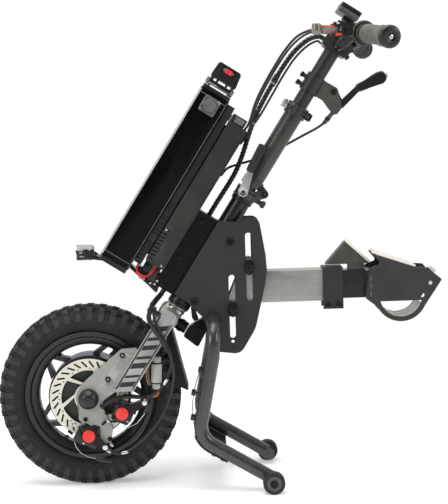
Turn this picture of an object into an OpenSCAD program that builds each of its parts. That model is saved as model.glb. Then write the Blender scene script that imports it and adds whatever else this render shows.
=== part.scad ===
// Clip-on front drive for a wheelchair: hub-motor wheel, raked head with battery, folding
// steering column, docking arm and castor stand. Millimetres, +Z up, +X towards the rider,
// origin on the floor under the middle of the length.

/* [Wheel] */
// Outside diameter of the tyre
tyre_d = 375; // [320:1:450]
// Width of the tyre
tyre_w = 64; // [48:1:66]
// Diameter over the rim flanges
rim_d = 262; // [250:1:280]
// Diameter of the hub drum
hub_d = 168; // [140:1:172]
// Width of the hub drum
hub_w = 62; // [50:1:64]
// Number of twin spokes
spokes = 5; // [3:1:7]
// Diameter of the brake disc
disc_d = 160; // [140:1:180]
// Diameter of the wheel axle
axle_d = 14; // [10:1:16]

/* [Fork] */
// Rake of the steering axis from the floor, in degrees
head_angle = 57; // [52:1:62]
// Distance of the axle ahead of the steering axis
fork_offset = 59; // [40:1:70]
// Gap from the top of the tyre to the middle of the crown
crown_gap = 35; // [30:1:50]
// Diameter of the crown tube
crown_d = 38; // [34:1:42]
// Inner spacing of the fork legs
leg_span = 116; // [112:1:130]
// Thickness of a fork leg
leg_t = 16; // [10:1:20]
// Width of a fork leg seen from the side
leg_w = 36; // [28:1:40]
// Diameter of the steerer
steerer_d = 28.6; // [25.4:0.1:30]
// Distance of the brake disc from the middle of the wheel
disc_y = 45; // [40:0.5:46]

/* [Head] */
// Outside diameter of the head tube
head_tube_d = 40; // [38:1:46]
// Length of the head tube
head_tube_l = 235; // [200:1:260]
// Gap between the side plates
plate_gap = 57; // [50:1:70]
// Thickness of a side plate
plate_t = 6; // [4:0.5:8]
// Diameter of the bolts through the plates
plate_bolt_d = 10; // [8:1:12]

/* [Power] */
// Length of the battery case
battery_l = 394; // [300:1:420]
// Depth of the battery case
battery_t = 65; // [50:1:80]
// Width of the battery case
battery_w = 90; // [70:1:110]
// Length of the controller housing
controller_l = 326; // [260:1:360]
// Depth of the controller housing
controller_t = 42; // [30:1:42]
// Width of the controller housing
controller_w = 88; // [70:1:100]
// Diameter of the charge socket cap
charge_cap_d = 29; // [20:1:34]
// Diameter of the headlamp
lamp_d = 32; // [24:1:40]

/* [Column] */
// Outside diameter of the stem tube
stem_d = 39; // [37:0.5:42]
// Length of the stem tube
stem_l = 179; // [150:1:200]
// Outside diameter of the sliding bar tube
bar_tube_d = 32; // [28:0.5:33]
// Height of the bar clamp above the stem tube
bar_rise = 153; // [120:1:180]
// Diameter of the hinge pin of the folding column
fold_pin_d = 10; // [8:0.5:12]

/* [Handlebar] */
// Diameter of the handlebar tube
bar_d = 22.2; // [22.2:0.1:25.4]
// Half of the handlebar's width
bar_half = 212; // [190:1:240]
// Diameter of the grips
grip_d = 34; // [30:1:38]

/* [Arm and dock] */
// Height of the outer arm tube
arm_h = 64; // [50:1:70]
// Width of the outer arm tube
arm_w = 46; // [40:1:46]
// Wall of the outer arm tube
arm_wall = 3; // [2:0.5:5]
// Length of the outer arm tube
arm_l = 211; // [180:1:240]
// Length of the height slots in the side plates
slot_l = 140; // [120:1:146]
// Diameter of the arm bolts
arm_bolt_d = 12; // [10:1:12]
// Visible length of the inner tube between arm clamp and hook plates
dock_reach = 39; // [30:1:70]
// Gap between the hook plates
hook_gap = 74; // [66:1:84]
// Thickness of a hook plate
hook_t = 6; // [4:0.5:8]
// Diameter of the lock pin hole
lock_pin_d = 9; // [6:0.5:10]

/* [Stand] */
// Diameter of the stand tube
stand_d = 28; // [22:0.5:32]
// Spacing of the stand legs
stand_w = 220; // [200:1:260]
// Diameter of a castor
castor_d = 44; // [36:1:60]
// Width of a castor
castor_w = 24; // [18:1:30]
// Diameter of the castor axles
castor_pin_d = 10; // [8:0.5:12]

/* [Fits] */
// Radial clearance of a running fit
run = 0.05; // [0.03:0.01:0.1]
// Gap between sliding or passing parts
gap = 0.3; // [0.2:0.05:0.6]

/* [Hidden] */
$fn = 64;
arc_step = 15;
rim_r = rim_d / 2;
axle_r = axle_d / 2;
leg_y = leg_span / 2;
plate_y = plate_gap / 2;

// Steering axis: s runs up the axis from the floor, p points back from it, h starts at the crown.
axle_s = (tyre_d / 2 - fork_offset * cos(head_angle)) / sin(head_angle);
crown_s = axle_s + tyre_d / 2 + crown_gap;
head_s = crown_s + 24;
axle_h = axle_s - head_s;
crown_h = crown_s - head_s;
crown_p = -4;
race_h = 3.5;
cup_h = 18;
tube_top = cup_h + head_tube_l;
base_h = tube_top + 9 + gap;
base_l = 21.5;
base_top = 4;
fold_h = base_h + base_l + 7;
fold_p = 33;
stem_top = fold_h + stem_l;
bar_h = stem_top + bar_rise;
stub_h = crown_h - 4;
stub_l = 40;

// Head block that the side plates and the battery bracket are bolted to
block_front = -20;
block_back = 32;
block_h = [22, 185];
plate_bolts_at = [[23, 32], [22, 173.6]];
bracket_front = -64;
bracket_h = [19, 196];
bracket_bolts_at = [[-49, 28], [-50, 92]];

// Power pack, from the bracket forwards
controller_back = bracket_front;
controller_front = controller_back - controller_t;
controller_h = [54, 54 + controller_l];
rail_front = controller_front - 18.5;
battery_back = rail_front - 0.5;
battery_front = battery_back - battery_t;
battery_h = [18, 18 + battery_l];
battery_mid = (battery_front + battery_back) / 2;
cap_t = [10, 8];
shelf_h = battery_h[1] + cap_t[1];
switch_h = [shelf_h + 20, shelf_h + 53];
charge_h = battery_h[1] - 26;
charge_p = battery_mid + 2;
charge_flange_t = 3;
lamp_p = battery_front - 25;
lamp_h = 1;

// Places in the side view, measured from the crown race on the steering axis
front_x = axle_s * cos(head_angle) - fork_offset * sin(head_angle) - tyre_d / 2;
arm_z = 38;
upper_slot = [150, arm_z + 43];
lower_slot = [114, arm_z - 42];
slot_w = arm_bolt_d + 1;
arm_x = 125;
arm_end = arm_x + arm_l;
clamp_l = 41;
clamp_x = arm_end - 36;
clamp_t = 4;
clamp_drop = 17;
dock_tube_h = arm_h - 2 * arm_wall - 2 * gap;
dock_tube_w = arm_w - 2 * arm_wall - 2 * gap;
hook_x = clamp_x + clamp_l + dock_reach;
hook_y = hook_gap / 2;
tip_x = hook_x + 160.7;
latch_pin = [hook_x + 137, 38];
lock_pin = [hook_x + 120.5, 13];
pivot = [74, -25];

// The model's origin is under the middle of tyre front and dock tip.
head_x = head_s * cos(head_angle) - (front_x + head_s * cos(head_angle) + tip_x) / 2;
head_z = head_s * sin(head_angle);
axle_x = head_x - head_s * cos(head_angle) + front_x + tyre_d / 2;
axle_z = tyre_d / 2;

// Brake places: angle round the axle and radius of each caliper
disc_r = disc_d / 2;
main_angle = -24;
park_angle = -91;
caliper_r = disc_r - 6;
caliper_out = 62;
arm_plate_y = caliper_out + 4 + gap;
arm_plate_t = 4;
knob_y = arm_plate_y + arm_plate_t + gap;
main_arm = [46, 20];
park_arm = [32, -25];
knob_pin_d = 8;

// Stand leg route: pivot, knee and foot in the side view, foot heights from the floor
foot_x = 184;
knee = [37, 113];
shin = [70, 272];
knee_r = 44;
step_l = 44;
castor_y = stand_w / 2 + stand_d / 2 + 1;

// Handlebar and lever places on the column: [p, y, h]
bar_p = 4;
bar_path = [[bar_p, -42, bar_h], [15, -72, bar_h + 33], [23, -100, bar_h + 37],
            [66, -bar_half, bar_h + 46]];
grip_from = bar_path[2];
grip_to = bar_path[3];
perch_at = [21, -86, bar_h + 49];
lever_pivot = [330, -84, 548];
park_h = bar_h - 123.5;
park_pivot = [45, park_h + 41];
park_pin_d = 6;
rocker_p = battery_mid;
switch_w = 68;
rocker_y = 4 - switch_w / 2;
rocker_h = switch_h[1] - 10;

// Loom and cable routes: [p, y, h] on the column, chosen by hand
loom_path = [[-41, 4, 196.05], [-41, 4, 230], [-40, 4, 270], [-41, 4, 302], [-47, 4, 338], [-55.4, 4, 372],
             [-62.4, 4, 404], [-67, 4, 442], [-69, 4, 482], [-69, 4, 528], [-66, 4, 566], [-57, 4, 598],
             [-47, 4, 614], [-37, 4, 622], [-27.2, 4, 622]];
bar_cable_path = [[-70, -24, 380.7], [-70, -26, 400], [-80, -29, 440], [-84, -30, 480], [-85, -30, 520],
                  [-84, -32, 560], [-76, -36, 598], [-52, -48, 626], [-12, -68, 640]];
throttle_path = [[-61.4, 20, 352], [-60, 20, 384], [-57, 17, 420], [-58, 14, 470], [-59, 12, 520],
                 [-57, 12, 560], [-49, 12, 592], [-37, 13, 612], [-27.2, 13, 612]];
display_path = [[-61.4, -12, 356], [-61.4, -12, 386], [-74, -12, 430], [-79, -12, 480], [-80, -12, 530],
                [-77, -12, 572], [-66, -12, 606], [-46, -12, 631], [-37, -12, 634], [-27.2, -12, 634]];
park_cable_path = [[62, 0, 478.9], [55, 4, 462], [38, 16, 432], [20, 28, 400], [2, 33, 370],
                   [-20, 33, 340], [-44, 30, 314], [-58, 26, 296], [-61.4, 26, 276]];
lead_path = [[-42, -20.5, 18.95], [-42, -20.5, 8], [-45, -36, -4], [-47, -54, -14], [-46, -68, -24]];
motor_path = [[-46, -74, -27], [-40, -82, -40], [-22, -82, -52], [0, -80, -62], [16, -79, -71],
              [23, -66, -82], [20, -53, -92], [12.5, -47, -101]];
hub_lead = [[137, 15, -46], [128, 2, -52], [104, 1, -64], [74, 3, -64], [46, -6, -64], [24, -17, -64]];
main_cable = [[-40, -82, -12], [-34, -87, -30], [-14, -88, -46], [14, -87, -62], [38, -82, -84],
              [52, -77, -116], [54, -72, -152], [41.7, -68.35, -186.3]];
park_cable = [[-46, -88, -14], [-40, -93, -34], [-20, -95, -50], [10, -94, -64], [40, -91, -86],
              [62, -87, -114], [77, -83, -152], [84, -79, -196], [81, -76, -240], [68, -73, -284],
              [48, -70, -312], [27.2, -68.4, -310]];

function unit(v) = v / norm(v);

// Point in the side view at height h and setback p on the steering axis, from the crown race
function ax(h, p) = [h * cos(head_angle) + p * sin(head_angle), h * sin(head_angle) - p * cos(head_angle)];

// Outline with rounded corners: each point is [x, y, radius]
function corner(a, b, c, r) =
    let (u = unit(a - b), v = unit(c - b), half = acos(u * v) / 2,
         mid = b + unit(u + v) * r / sin(half),
         from = b + u * r / tan(half) - mid, to = b + v * r / tan(half) - mid,
         start = atan2(from.y, from.x), raw = atan2(to.y, to.x) - start,
         turn = raw > 180 ? raw - 360 : raw < -180 ? raw + 360 : raw,
         n = max(2, ceil(abs(turn) / arc_step)))
    [for (i = [0:n]) mid + r * [cos(start + turn * i / n), sin(start + turn * i / n)]];
function flat(p) = [p.x, p.y];
function rounded(pts) =
    let (n = len(pts))
    [for (i = [0:n - 1])
        each pts[i].z == 0 ? [flat(pts[i])]
             : corner(flat(pts[(i + n - 1) % n]), flat(pts[i]), flat(pts[(i + 1) % n]), pts[i].z)];
function box2(x0, x1, y0, y1, r) = rounded([[x0, y0, r], [x1, y0, r], [x1, y1, r], [x0, y1, r]]);

// Path with its inner corners bent to a radius
function bend_at(a, b, c, r, n) =
    let (u = unit(a - b), v = unit(c - b), half = acos(u * v) / 2,
         mid = b + unit(u + v) * r / sin(half), out = unit(b + u * r / tan(half) - mid),
         turn = 180 - 2 * half)
    [for (i = [0:n]) mid + r * (cos(turn * i / n) * out - sin(turn * i / n) * u)];
function bent(pts, r, n = 5) =
    [for (i = [0:len(pts) - 1])
        each i == 0 || i == len(pts) - 1 ? [pts[i]] : bend_at(pts[i - 1], pts[i], pts[i + 1], r, n)];

// Tube swept along a path
function tangents(p) =
    [for (i = [0:len(p) - 1]) unit(p[min(i + 1, len(p) - 1)] - p[max(i - 1, 0)])];
function carry(n, t) = unit(n - (n * t) * t);
function normals(t) =
    [for (i = 0, n = carry(abs(t[0].z) < 0.9 ? [0, 0, 1] : [1, 0, 0], t[0]); i < len(t);
          i = i + 1, n = i < len(t) ? carry(n, t[i]) : n) n];

module sweep(path, d, sides = 8) {
    t = tangents(path);
    n = normals(t);
    last = len(path) - 1;
    points = [for (i = [0:last]) for (k = [0:sides - 1])
        path[i] + d / 2 * (cos(360 * k / sides) * n[i] + sin(360 * k / sides) * cross(t[i], n[i]))];
    walls = [for (i = [0:last - 1]) for (k = [0:sides - 1])
        let (a = i * sides + k, b = i * sides + (k + 1) % sides)
        each [[a, a + sides, b + sides], [a, b + sides, b]]];
    ends = [[for (k = [0:sides - 1]) k], [for (k = [0:sides - 1]) last * sides + sides - 1 - k]];
    polyhedron(points, concat(walls, ends));
}

// Side-view frame at the crown race, and the same frame raked along the steering axis
module at_head() {
    translate([head_x, 0, head_z]) children();
}
module raked() {
    at_head() rotate([0, 90 - head_angle, 0]) children();
}
module at_axle() {
    translate([axle_x, 0, axle_z]) children();
}
// Outline in the side view, thick from y0 to y1
module slab(y0, y1) {
    translate([0, y1, 0]) rotate([90, 0, 0]) linear_extrude(y1 - y0) children();
}
// Cylinder along Y from y0 to y1 at a place in the side view
module pin(at, d, y0, y1) {
    translate([at.x, y1, at.y]) rotate([90, 0, 0]) cylinder(d = d, h = y1 - y0);
}
module block(x, y, z) {
    translate([x[0], y[0], z[0]]) cube([x[1] - x[0], y[1] - y[0], z[1] - z[0]]);
}
// Child with its z axis pointing from a to b
module aim(a, b) {
    d = b - a;
    translate(a) rotate([0, acos(d.z / norm(d)), atan2(d.y, d.x)]) children();
}
module spun(profile) {
    rotate([90, 0, 0]) rotate_extrude() polygon(profile);
}

// Tyre: plain envelope of the tread blocks
module tyre() {
    r = tyre_d / 2;
    w = tyre_w / 2;
    seat = rim_r - 6;
    color("#2b2b2d") at_axle() spun(rounded([[seat, -w + 12, 0], [rim_r + gap, -w + 12, 0],
        [rim_r + 6, -w + 3, 4], [r - 26, -w, 12], [r - 8, -w + 6, 6], [r, -w + 16, 6], [r, w - 16, 6],
        [r - 8, w - 6, 6],
        [r - 26, w, 12], [rim_r + 6, w - 3, 4], [rim_r + gap, w - 12, 0], [seat, w - 12, 0]]));
}

// Cast rim, twin spokes and hub drum in one
rim_in = rim_r - 26;
spoke_t = 22;
drum_wall = 6;
drum_in = hub_d / 2 - drum_wall;
module rim() {
    w = tyre_w / 2 - 12 - gap;
    color("#1d1d1f") at_axle() {
        spun([[rim_in, -w + 8], [rim_in + 8, -w + 2], [rim_r - 6 - gap, -w], [rim_r - 6 - gap, w],
              [rim_in + 8, w - 2], [rim_in, w - 8]]);
        for (side = [-1, 1])
            spun([[rim_r - 8, side * (w + gap)], [rim_r, side * (w + gap)], [rim_r, side * (w + 5)],
                  [rim_r - 8, side * (w + 5)], [rim_r - 12, side * (w - 2)], [rim_r - 8, side * (w - 2)]]);
        for (i = [0:spokes - 1])
            rotate([0, -360 / spokes * i - 65, 0])
                for (side = [-1, 1])
                    slab(-spoke_t / 2, spoke_t / 2)
                        polygon([[rim_in + 4, side * 3], [rim_in + 4, side * 13],
                                 [drum_in + 3, side * 30], [drum_in + 3, side * 17]]);
        difference() {
            pin([0, 0], hub_d, -hub_w / 2, hub_w / 2);
            pin([0, 0], 2 * drum_in, -hub_w / 2 - 1, hub_w / 2 - drum_wall);
            pin([0, 0], axle_d + 2 * run, 0, hub_w);
        }
    }
}

// Cover of the hub drum on the disc side, with the boss that carries the brake disc
boss_d = 64;
module hub_cover() {
    color("#1f2022") at_axle() difference() {
        union() {
            pin([0, 0], 2 * drum_in, -hub_w / 2, -hub_w / 2 + drum_wall);
            pin([0, 0], boss_d, -disc_y + 1, -hub_w / 2);
        }
        pin([0, 0], axle_d + 2 * run, -disc_y, 0);
    }
}

// Wound stator on the axle inside the drum
module motor_stator() {
    color("#a86a3a") at_axle() difference() {
        pin([0, 0], 2 * drum_in - 2, -hub_w / 2 + drum_wall + 2, hub_w / 2 - drum_wall - 2);
        pin([0, 0], axle_d + 2 * run, -hub_w, hub_w);
    }
}

// Brake disc with windows, vents and bolts
disc_t = 2;
disc_arms = 6;
module brake_disc() {
    hole_r = 22;
    ring = disc_r - 18;
    color("#d8d2c4") at_axle() {
        difference() {
            pin([0, 0], disc_d, -disc_y - disc_t / 2, -disc_y + disc_t / 2);
            pin([0, 0], 2 * axle_d, -disc_y - disc_t, -disc_y + disc_t);
            for (i = [0:disc_arms - 1]) rotate([0, 360 / disc_arms * i, 0]) {
                slab(-disc_y - disc_t, -disc_y + disc_t)
                    polygon(rounded([[34, -12, 3], [ring, -21, 5], [ring, 21, 5], [34, 12, 3]]));
                for (a = [-24, -12, 0, 12, 24]) rotate([0, a, 0])
                    pin([disc_r - 9 + (a == 0 ? 3 : a / 8), 0], 6, -disc_y - disc_t, -disc_y + disc_t);
            }
        }
        for (i = [0:disc_arms - 1]) rotate([0, 360 / disc_arms * i + 30, 0])
            pin([hole_r, 0], 8, -disc_y - disc_t / 2 - 2.5, -disc_y - disc_t / 2);
    }
}

// Fork crown with steerer and the rear stub that the stand locks on
module fork_crown() {
    color("#8f9089") raked() {
        pin([crown_p, crown_h], crown_d, -leg_y, leg_y);
        translate([0, 0, crown_h]) cylinder(d = crown_d - 1, h = -crown_h);
        cylinder(d = 44, h = race_h);
        cylinder(d = steerer_d, h = base_h + base_l - base_top);
        translate([0, 0, stub_h]) rotate([0, 90, 0]) cylinder(d = 24, h = stub_l);
    }
}

// Fork leg, the same on both sides
leg_front = crown_p - leg_w / 2 - 4;
leg_back = leg_front + leg_w;
module fork_leg(side) {
    toe = axle_h + 40;
    color("#a9aba3") raked() mirror([0, side > 0 ? 1 : 0, 0])
        slab(-leg_y - leg_t, -leg_y)
            polygon(rounded([[leg_front, toe, 3], [leg_back, toe + 23, 3],
                             [leg_back, crown_h + 18, 14], [leg_front, crown_h + 18, 14]]));
}
module fork_leg_left() { fork_leg(-1); }
module fork_leg_right() { fork_leg(1); }

// Dropout plate inside the leg; the left one carries the calipers too
drop_t = 8;
drop_y = leg_y - drop_t;
module dropout(side) {
    raked() mirror([0, side > 0 ? 1 : 0, 0]) difference() {
        slab(-leg_y, -drop_y)
            polygon(rounded([[-fork_offset - 25, axle_h - 25, 24.8], [-fork_offset + 25, axle_h - 25, 24.8],
                             [-fork_offset + 29, axle_h + 32, 8], [-6, axle_h + 52, 6],
                             [-6, axle_h + 127, 6], [leg_front - 4, axle_h + 139, 4],
                             [-fork_offset + 4, axle_h + 121, 6], [-fork_offset - 27, axle_h + 20, 14]]));
        pin([-fork_offset, axle_h], axle_d + 2 * run, -leg_y - 1, -drop_y + 1);
    }
}
module dropout_left() {
    color("#a9aba3") {
        dropout(-1);
        at_axle() difference() {
            slab(-leg_y, -drop_y)
                polygon(rounded([[-20, -14, 4], [-22, -44, 5], [-2, -52, 4], [26, -92, 6], [42, -94, 6],
                                 [47, -64, 6], [34, -32, 4], [22, -10, 4]]));
            pin([0, 0], axle_d + 20, -leg_y - 1, -drop_y + 1);
            for (angle = [main_angle, park_angle]) rotate([0, -angle, 0])
                slab(-leg_y - 1, -drop_y + 1) polygon(caliper_outline(gap));
        }
        raked() for (h = [axle_h + 55, axle_h + 112]) pin([-46, h], 9, -leg_y - 3, -leg_y);
    }
}
module dropout_right() {
    color("#a9aba3") dropout(1);
}

// Axle with nuts and domed caps
module axle() {
    out = leg_y + leg_t + 4;
    color("#202022") at_axle() {
        pin([0, 0], axle_d, -out, out);
        for (side = [0, 1]) mirror([0, side, 0]) translate([0, -leg_y, 0]) rotate([90, 0, 0])
            rotate_extrude()
                polygon(rounded([[0, 0, 0], [20.5, 0, 0], [20.5, 12, 6], [10, 23, 8], [0, 23, 0]]));
    }
}

// Two disc calipers, each a block with a slot for the disc
module caliper_at(angle) {
    at_axle() rotate([0, -angle, 0]) children();
}
function caliper_outline(grow) =
    box2(caliper_r - 18 - grow, caliper_r + 20 + grow, -22 - grow, 22 + grow, 6);
module brake_calipers() {
    color("#1c1c1e") for (angle = [main_angle, park_angle]) caliper_at(angle) difference() {
        union() {
            slab(-caliper_out, -31) polygon(caliper_outline(0));
            pin([caliper_r, 0], 34, -caliper_out - 4, -caliper_out);
        }
        slab(-disc_y - 3.5, -disc_y + 3.5) square([2 * (disc_r + 3), 100], center = true);
        pin([caliper_r, 0], knob_pin_d, -caliper_out - 5, -caliper_out + 8);
    }
}

// Red pad adjusters on the spindles that the caliper arms turn on
module caliper_knobs() {
    color("#e8392f") for (angle = [main_angle, park_angle]) caliper_at(angle) {
        pin([caliper_r, 0], knob_pin_d, -knob_y - 1, -caliper_out + 8);
        translate([caliper_r, -knob_y, 0]) rotate([90, 0, 0])
            rotate_extrude() polygon(rounded([[0, 0, 0], [13, 0, 0], [13, 7, 2], [0, 7, 0]]));
    }
}

// Arm that a cable pulls to work a caliper
module caliper_arm(angle, tip) {
    color("#2a2a2c") at_axle() difference() {
        at = caliper_r * [cos(angle), sin(angle)];
        slab(-arm_plate_y - arm_plate_t, -arm_plate_y) hull() {
            translate(at) circle(12, $fn = 32);
            translate(at + tip) circle(6, $fn = 32);
        }
        pin(at, knob_pin_d + 2 * run, -arm_plate_y - arm_plate_t - 1, -arm_plate_y + 1);
    }
}
module caliper_arm_main() { caliper_arm(main_angle, main_arm); }
module caliper_arm_park() { caliper_arm(park_angle, park_arm); }

// Mud flap hung from the crown behind the tyre
flap_t = 3;
flap_gap = 11.92;
flap_angle = 1.91;
module mud_flap() {
    top = ax(crown_h, crown_p) + [3, -crown_d / 2 - 9];
    foot = [axle_x - head_x, axle_z - head_z]
        + (tyre_d / 2 + flap_gap) * [cos(flap_angle), sin(flap_angle)];
    color("#161617") at_head() {
        slab(-35, 35) polygon([top, foot, foot + [flap_t, 0], top + [flap_t, 0]]);
        for (y = [-35, 32.8])
            slab(y, y + 2.2) polygon([top, foot + [1, 0], foot + [-25, 12], top + [-11, -8]]);
        for (side = [-1, 1])
            slab(side * 24 - 8, side * 24 + 8)
                polygon([top, top + [flap_t, 0], top + [flap_t - 2, 9 - gap], top + [-2, 9 - gap]]);
    }
}

// Motor plug, motor lead and the two caliper cables, held along the fork
module fork_cables() {
    color("#141415") {
        raked() {
            sweep(motor_path, 9);
            sweep(main_cable, 5);
            sweep(park_cable, 5);
        }
        at_axle() sweep([for (q = hub_lead) [q.x, q.z, q.y]], 9);
    }
    color("#c9cac6") at_axle() translate([137, -46, 14]) rotate([0, 3, 0]) cylinder(d = 22, h = 72);
}

// Side plates that clamp the head block, with the slots for the arm bolts
module side_plate(side) {
    color("#3a3a3a") at_head() difference() {
        mirror([0, side > 0 ? 1 : 0, 0]) slab(-plate_y - plate_t, -plate_y)
            polygon(rounded([[each ax(25, block_front), 3], [each ax(22, 15), 20], [each ax(13, 52), 12],
                             [82, -91, 3], [128, -97, 22], [160, -45, 60], [189, 75, 150], [172, 181, 16],
                             [139, 181, 3], [134, 173, 2], [each ax(197, block_front), 3]]));
        for (at = [upper_slot, lower_slot]) {
            pin(at + [0, (slot_l - slot_w) / 2], slot_w, -plate_gap, plate_gap);
            pin(at - [0, (slot_l - slot_w) / 2], slot_w, -plate_gap, plate_gap);
            translate([at.x - slot_w / 2, -plate_gap, at.y - (slot_l - slot_w) / 2])
                cube([slot_w, 2 * plate_gap, slot_l - slot_w]);
        }
        for (at = plate_bolts_at) pin(ax(at.y, at.x), plate_bolt_d + 2 * run, -plate_gap, plate_gap);
        pin(pivot, stand_d + 2 * run, -plate_gap, plate_gap);
        pin([lower_slot.x, lower_slot.y - slot_l / 2 - 7], 7, -plate_gap, plate_gap);
    }
}
module side_plate_left() { side_plate(-1); }
module side_plate_right() { side_plate(1); }

// Head tube with its cups, welded into the block between the plates
module head_tube() {
    color("#1b1b1d") raked() difference() {
        union() {
            translate([0, 0, cup_h]) cylinder(d = head_tube_d, h = head_tube_l);
            translate([0, 0, race_h + gap]) cylinder(d = head_tube_d + 8, h = cup_h - race_h - gap);
            translate([0, 0, tube_top]) cylinder(d = head_tube_d + 5, h = 9);
            block([block_front, block_back], [-plate_y, plate_y], block_h);
        }
        translate([0, 0, cup_h]) cylinder(d = steerer_d + 5, h = head_tube_l);
        cylinder(d = steerer_d + 2 * run, h = tube_top + 20);
        for (at = plate_bolts_at) pin(at, plate_bolt_d + 2 * run, -plate_gap, plate_gap);
    }
}

// Bolts through plates and head block, and the bracket's side screws
module plate_bolts() {
    color("#77787a") {
        out = plate_y + plate_t;
        raked() {
            for (at = plate_bolts_at) {
                pin(at, plate_bolt_d, -out - 1, out + 1);
                for (side = [0, 1]) mirror([0, side, 0]) pin(at, 1.7 * plate_bolt_d, -out - 6, -out);
            }
            for (at = bracket_bolts_at) for (side = [0, 1])
                mirror([0, side, 0]) pin(at, 9, -bracket_w / 2 - 3, -bracket_w / 2);
        }
    }
}

// Bracket between head block and controller
bracket_w = 46;
module battery_bracket() {
    color("#121213") raked() difference() {
        block([bracket_front, block_front], [-bracket_w / 2, bracket_w / 2], bracket_h);
        block([bracket_front + 6, block_front - 6], [-bracket_w / 2 + 5, bracket_w / 2 - 5],
              [bracket_h[0] - 1, bracket_h[1] - 6]);
    }
}

// Controller: finned extrusion with the rail that the battery slides on
fin_n = 9;
module controller_housing() {
    w = controller_w / 2;
    color("#3c3d38") raked() {
        difference() {
            block([controller_front, controller_back], [-w, w], controller_h);
            for (i = [0:fin_n - 1]) for (side = [0, 1]) mirror([0, side, 0])
                block([controller_front - 1, controller_front + 12], [-w - 1, -w + 5],
                      [controller_h[0] + 8 + 8 * i, controller_h[0] + 12 + 8 * i]);
        }
        block([controller_front - 3, controller_front], [-15, 15],
              [controller_h[0] + 10, controller_h[1] - 10]);
        block([rail_front, controller_front - 3], [-w + 8, w - 8], [battery_h[0] + 22, battery_h[1] - 4]);
        block([controller_front + 1, controller_back - 10], [-34, 12],
              [controller_h[1], controller_h[1] + 19]);
    }
}

// Battery case: extruded box with rounded long edges
module battery_section(inset, r) {
    w = battery_w / 2 - inset;
    translate([battery_mid, 0]) polygon(box2(-battery_t / 2 + inset, battery_t / 2 - inset, -w, w, r));
}
module battery_case() {
    color("#101012") raked() translate([0, 0, battery_h[0]]) linear_extrude(battery_l) battery_section(0, 5);
    charge_socket();
}

// End caps of the battery, the lower one with the lamp's bracket
module battery_caps() {
    color("#1a1a1c") raked() {
        translate([0, 0, battery_h[0] - cap_t[0]]) linear_extrude(cap_t[0]) battery_section(2, 5);
        translate([0, 0, battery_h[1]]) linear_extrude(cap_t[1]) battery_section(1.5, 5);
        block([lamp_p + 20, battery_front + 10], [-lamp_ear, lamp_ear],
              [battery_h[0] - cap_t[0] - 3, battery_h[0] - cap_t[0]]);
        for (side = [0, 1]) mirror([0, side, 0])
            difference() {
                slab(-lamp_ear - 3, -lamp_ear)
                    polygon(rounded([[lamp_p - 8, lamp_h - 8, 7], [lamp_p + 8, lamp_h - 8, 4],
                                     [battery_front + 10, battery_h[0] - cap_t[0] - 3, 2],
                                     [battery_front + 10, battery_h[0] - cap_t[0], 1],
                                     [lamp_p - 8, lamp_h + 8, 7]]));
                pin([lamp_p, lamp_h], lamp_pin_d + 2 * run, -lamp_ear - 4, 0);
            }
    }
}

// Headlamp that tilts between the ears of its bracket
lamp_ear = 19;
lamp_pin_d = 6;
lamp_l = 36;
module headlamp() {
    color("#1e1e20") raked() translate([lamp_p, 0, lamp_h]) rotate([0, head_angle - 90, 0]) {
        pin([0, 0], lamp_pin_d, -lamp_ear - 4, lamp_ear + 4);
        translate([-lamp_l + 14, 0, 0]) rotate([0, 90, 0]) difference() {
            cylinder(d = lamp_d, h = lamp_l);
            translate([0, 0, -1]) cylinder(d = lamp_d - 4, h = 6);
        }
    }
}

// Switch housing on two thin shelves and posts above the battery
module switch_housing() {
    w = switch_w / 2;
    p0 = battery_front + 4;
    p1 = battery_back - 3;
    color("#18181a") raked() {
        for (h = [shelf_h + 4, shelf_h + 11]) block([p0, p1], [-w, w], [h, h + 3]);
        for (p = [p0 + 6, p1 - 6]) for (y = [-w + 6, w - 6])
            translate([p, y, shelf_h]) cylinder(d = 7, h = switch_h[0] - shelf_h);
        difference() {
            slab(-w, w) polygon(rounded([[p0, switch_h[0], 3], [p1, switch_h[0], 3], [p1 - 5, switch_h[1], 6],
                                         [p0 + 2, switch_h[1], 6]]));
            block([rocker_p - 12.5, rocker_p + 12.5], [-w - 1, -w + 11], [rocker_h - 7, rocker_h + 7]);
            translate([rocker_p, rocker_y, rocker_h - 9]) cylinder(d = rocker_pin_d + 2 * run, h = 18);
        }
    }
}

// Red rocker in the switch housing, on its own pivot pin
rocker_pin_d = 4;
module rocker_switch() {
    color("#d8262b") raked() translate([rocker_p, rocker_y, rocker_h]) {
        translate([0, 0, -6.5]) linear_extrude(13)
            polygon([[-9, 0], [0, 4.6], [9, 0], [11, -7], [0, -5], [-11, -7]]);
        translate([0, 0, -8.5]) cylinder(d = rocker_pin_d, h = 17);
    }
}

// Charge socket flange on the battery's side
module charge_socket() {
    half = charge_cap_d / 2 + 3;
    y = -battery_w / 2;
    color("#55565a") raked() {
        difference() {
            slab(y - charge_flange_t, y)
                polygon(box2(charge_p - half, charge_p + half, charge_h - half, charge_h + half, 3));
            pin([charge_p, charge_h], charge_cap_d - 8, y - 5, y + 1);
        }
        for (k = [-1, 1])
            pin([charge_p + k * (half - 4), charge_h + k * (half - 4)], 5, y - 4, y - charge_flange_t);
        for (h = [-9, 5]) translate([charge_p - half + 2, y - charge_flange_t - 2.5, charge_h + h])
            difference() {
                union() {
                    cylinder(d = 5, h = 4);
                    block([-2, 2], [0, 2.5], [0, 4]);
                }
                translate([0, 0, -1]) cylinder(d = hinge_pin_d + 2 * run, h = 6);
            }
    }
}

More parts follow.
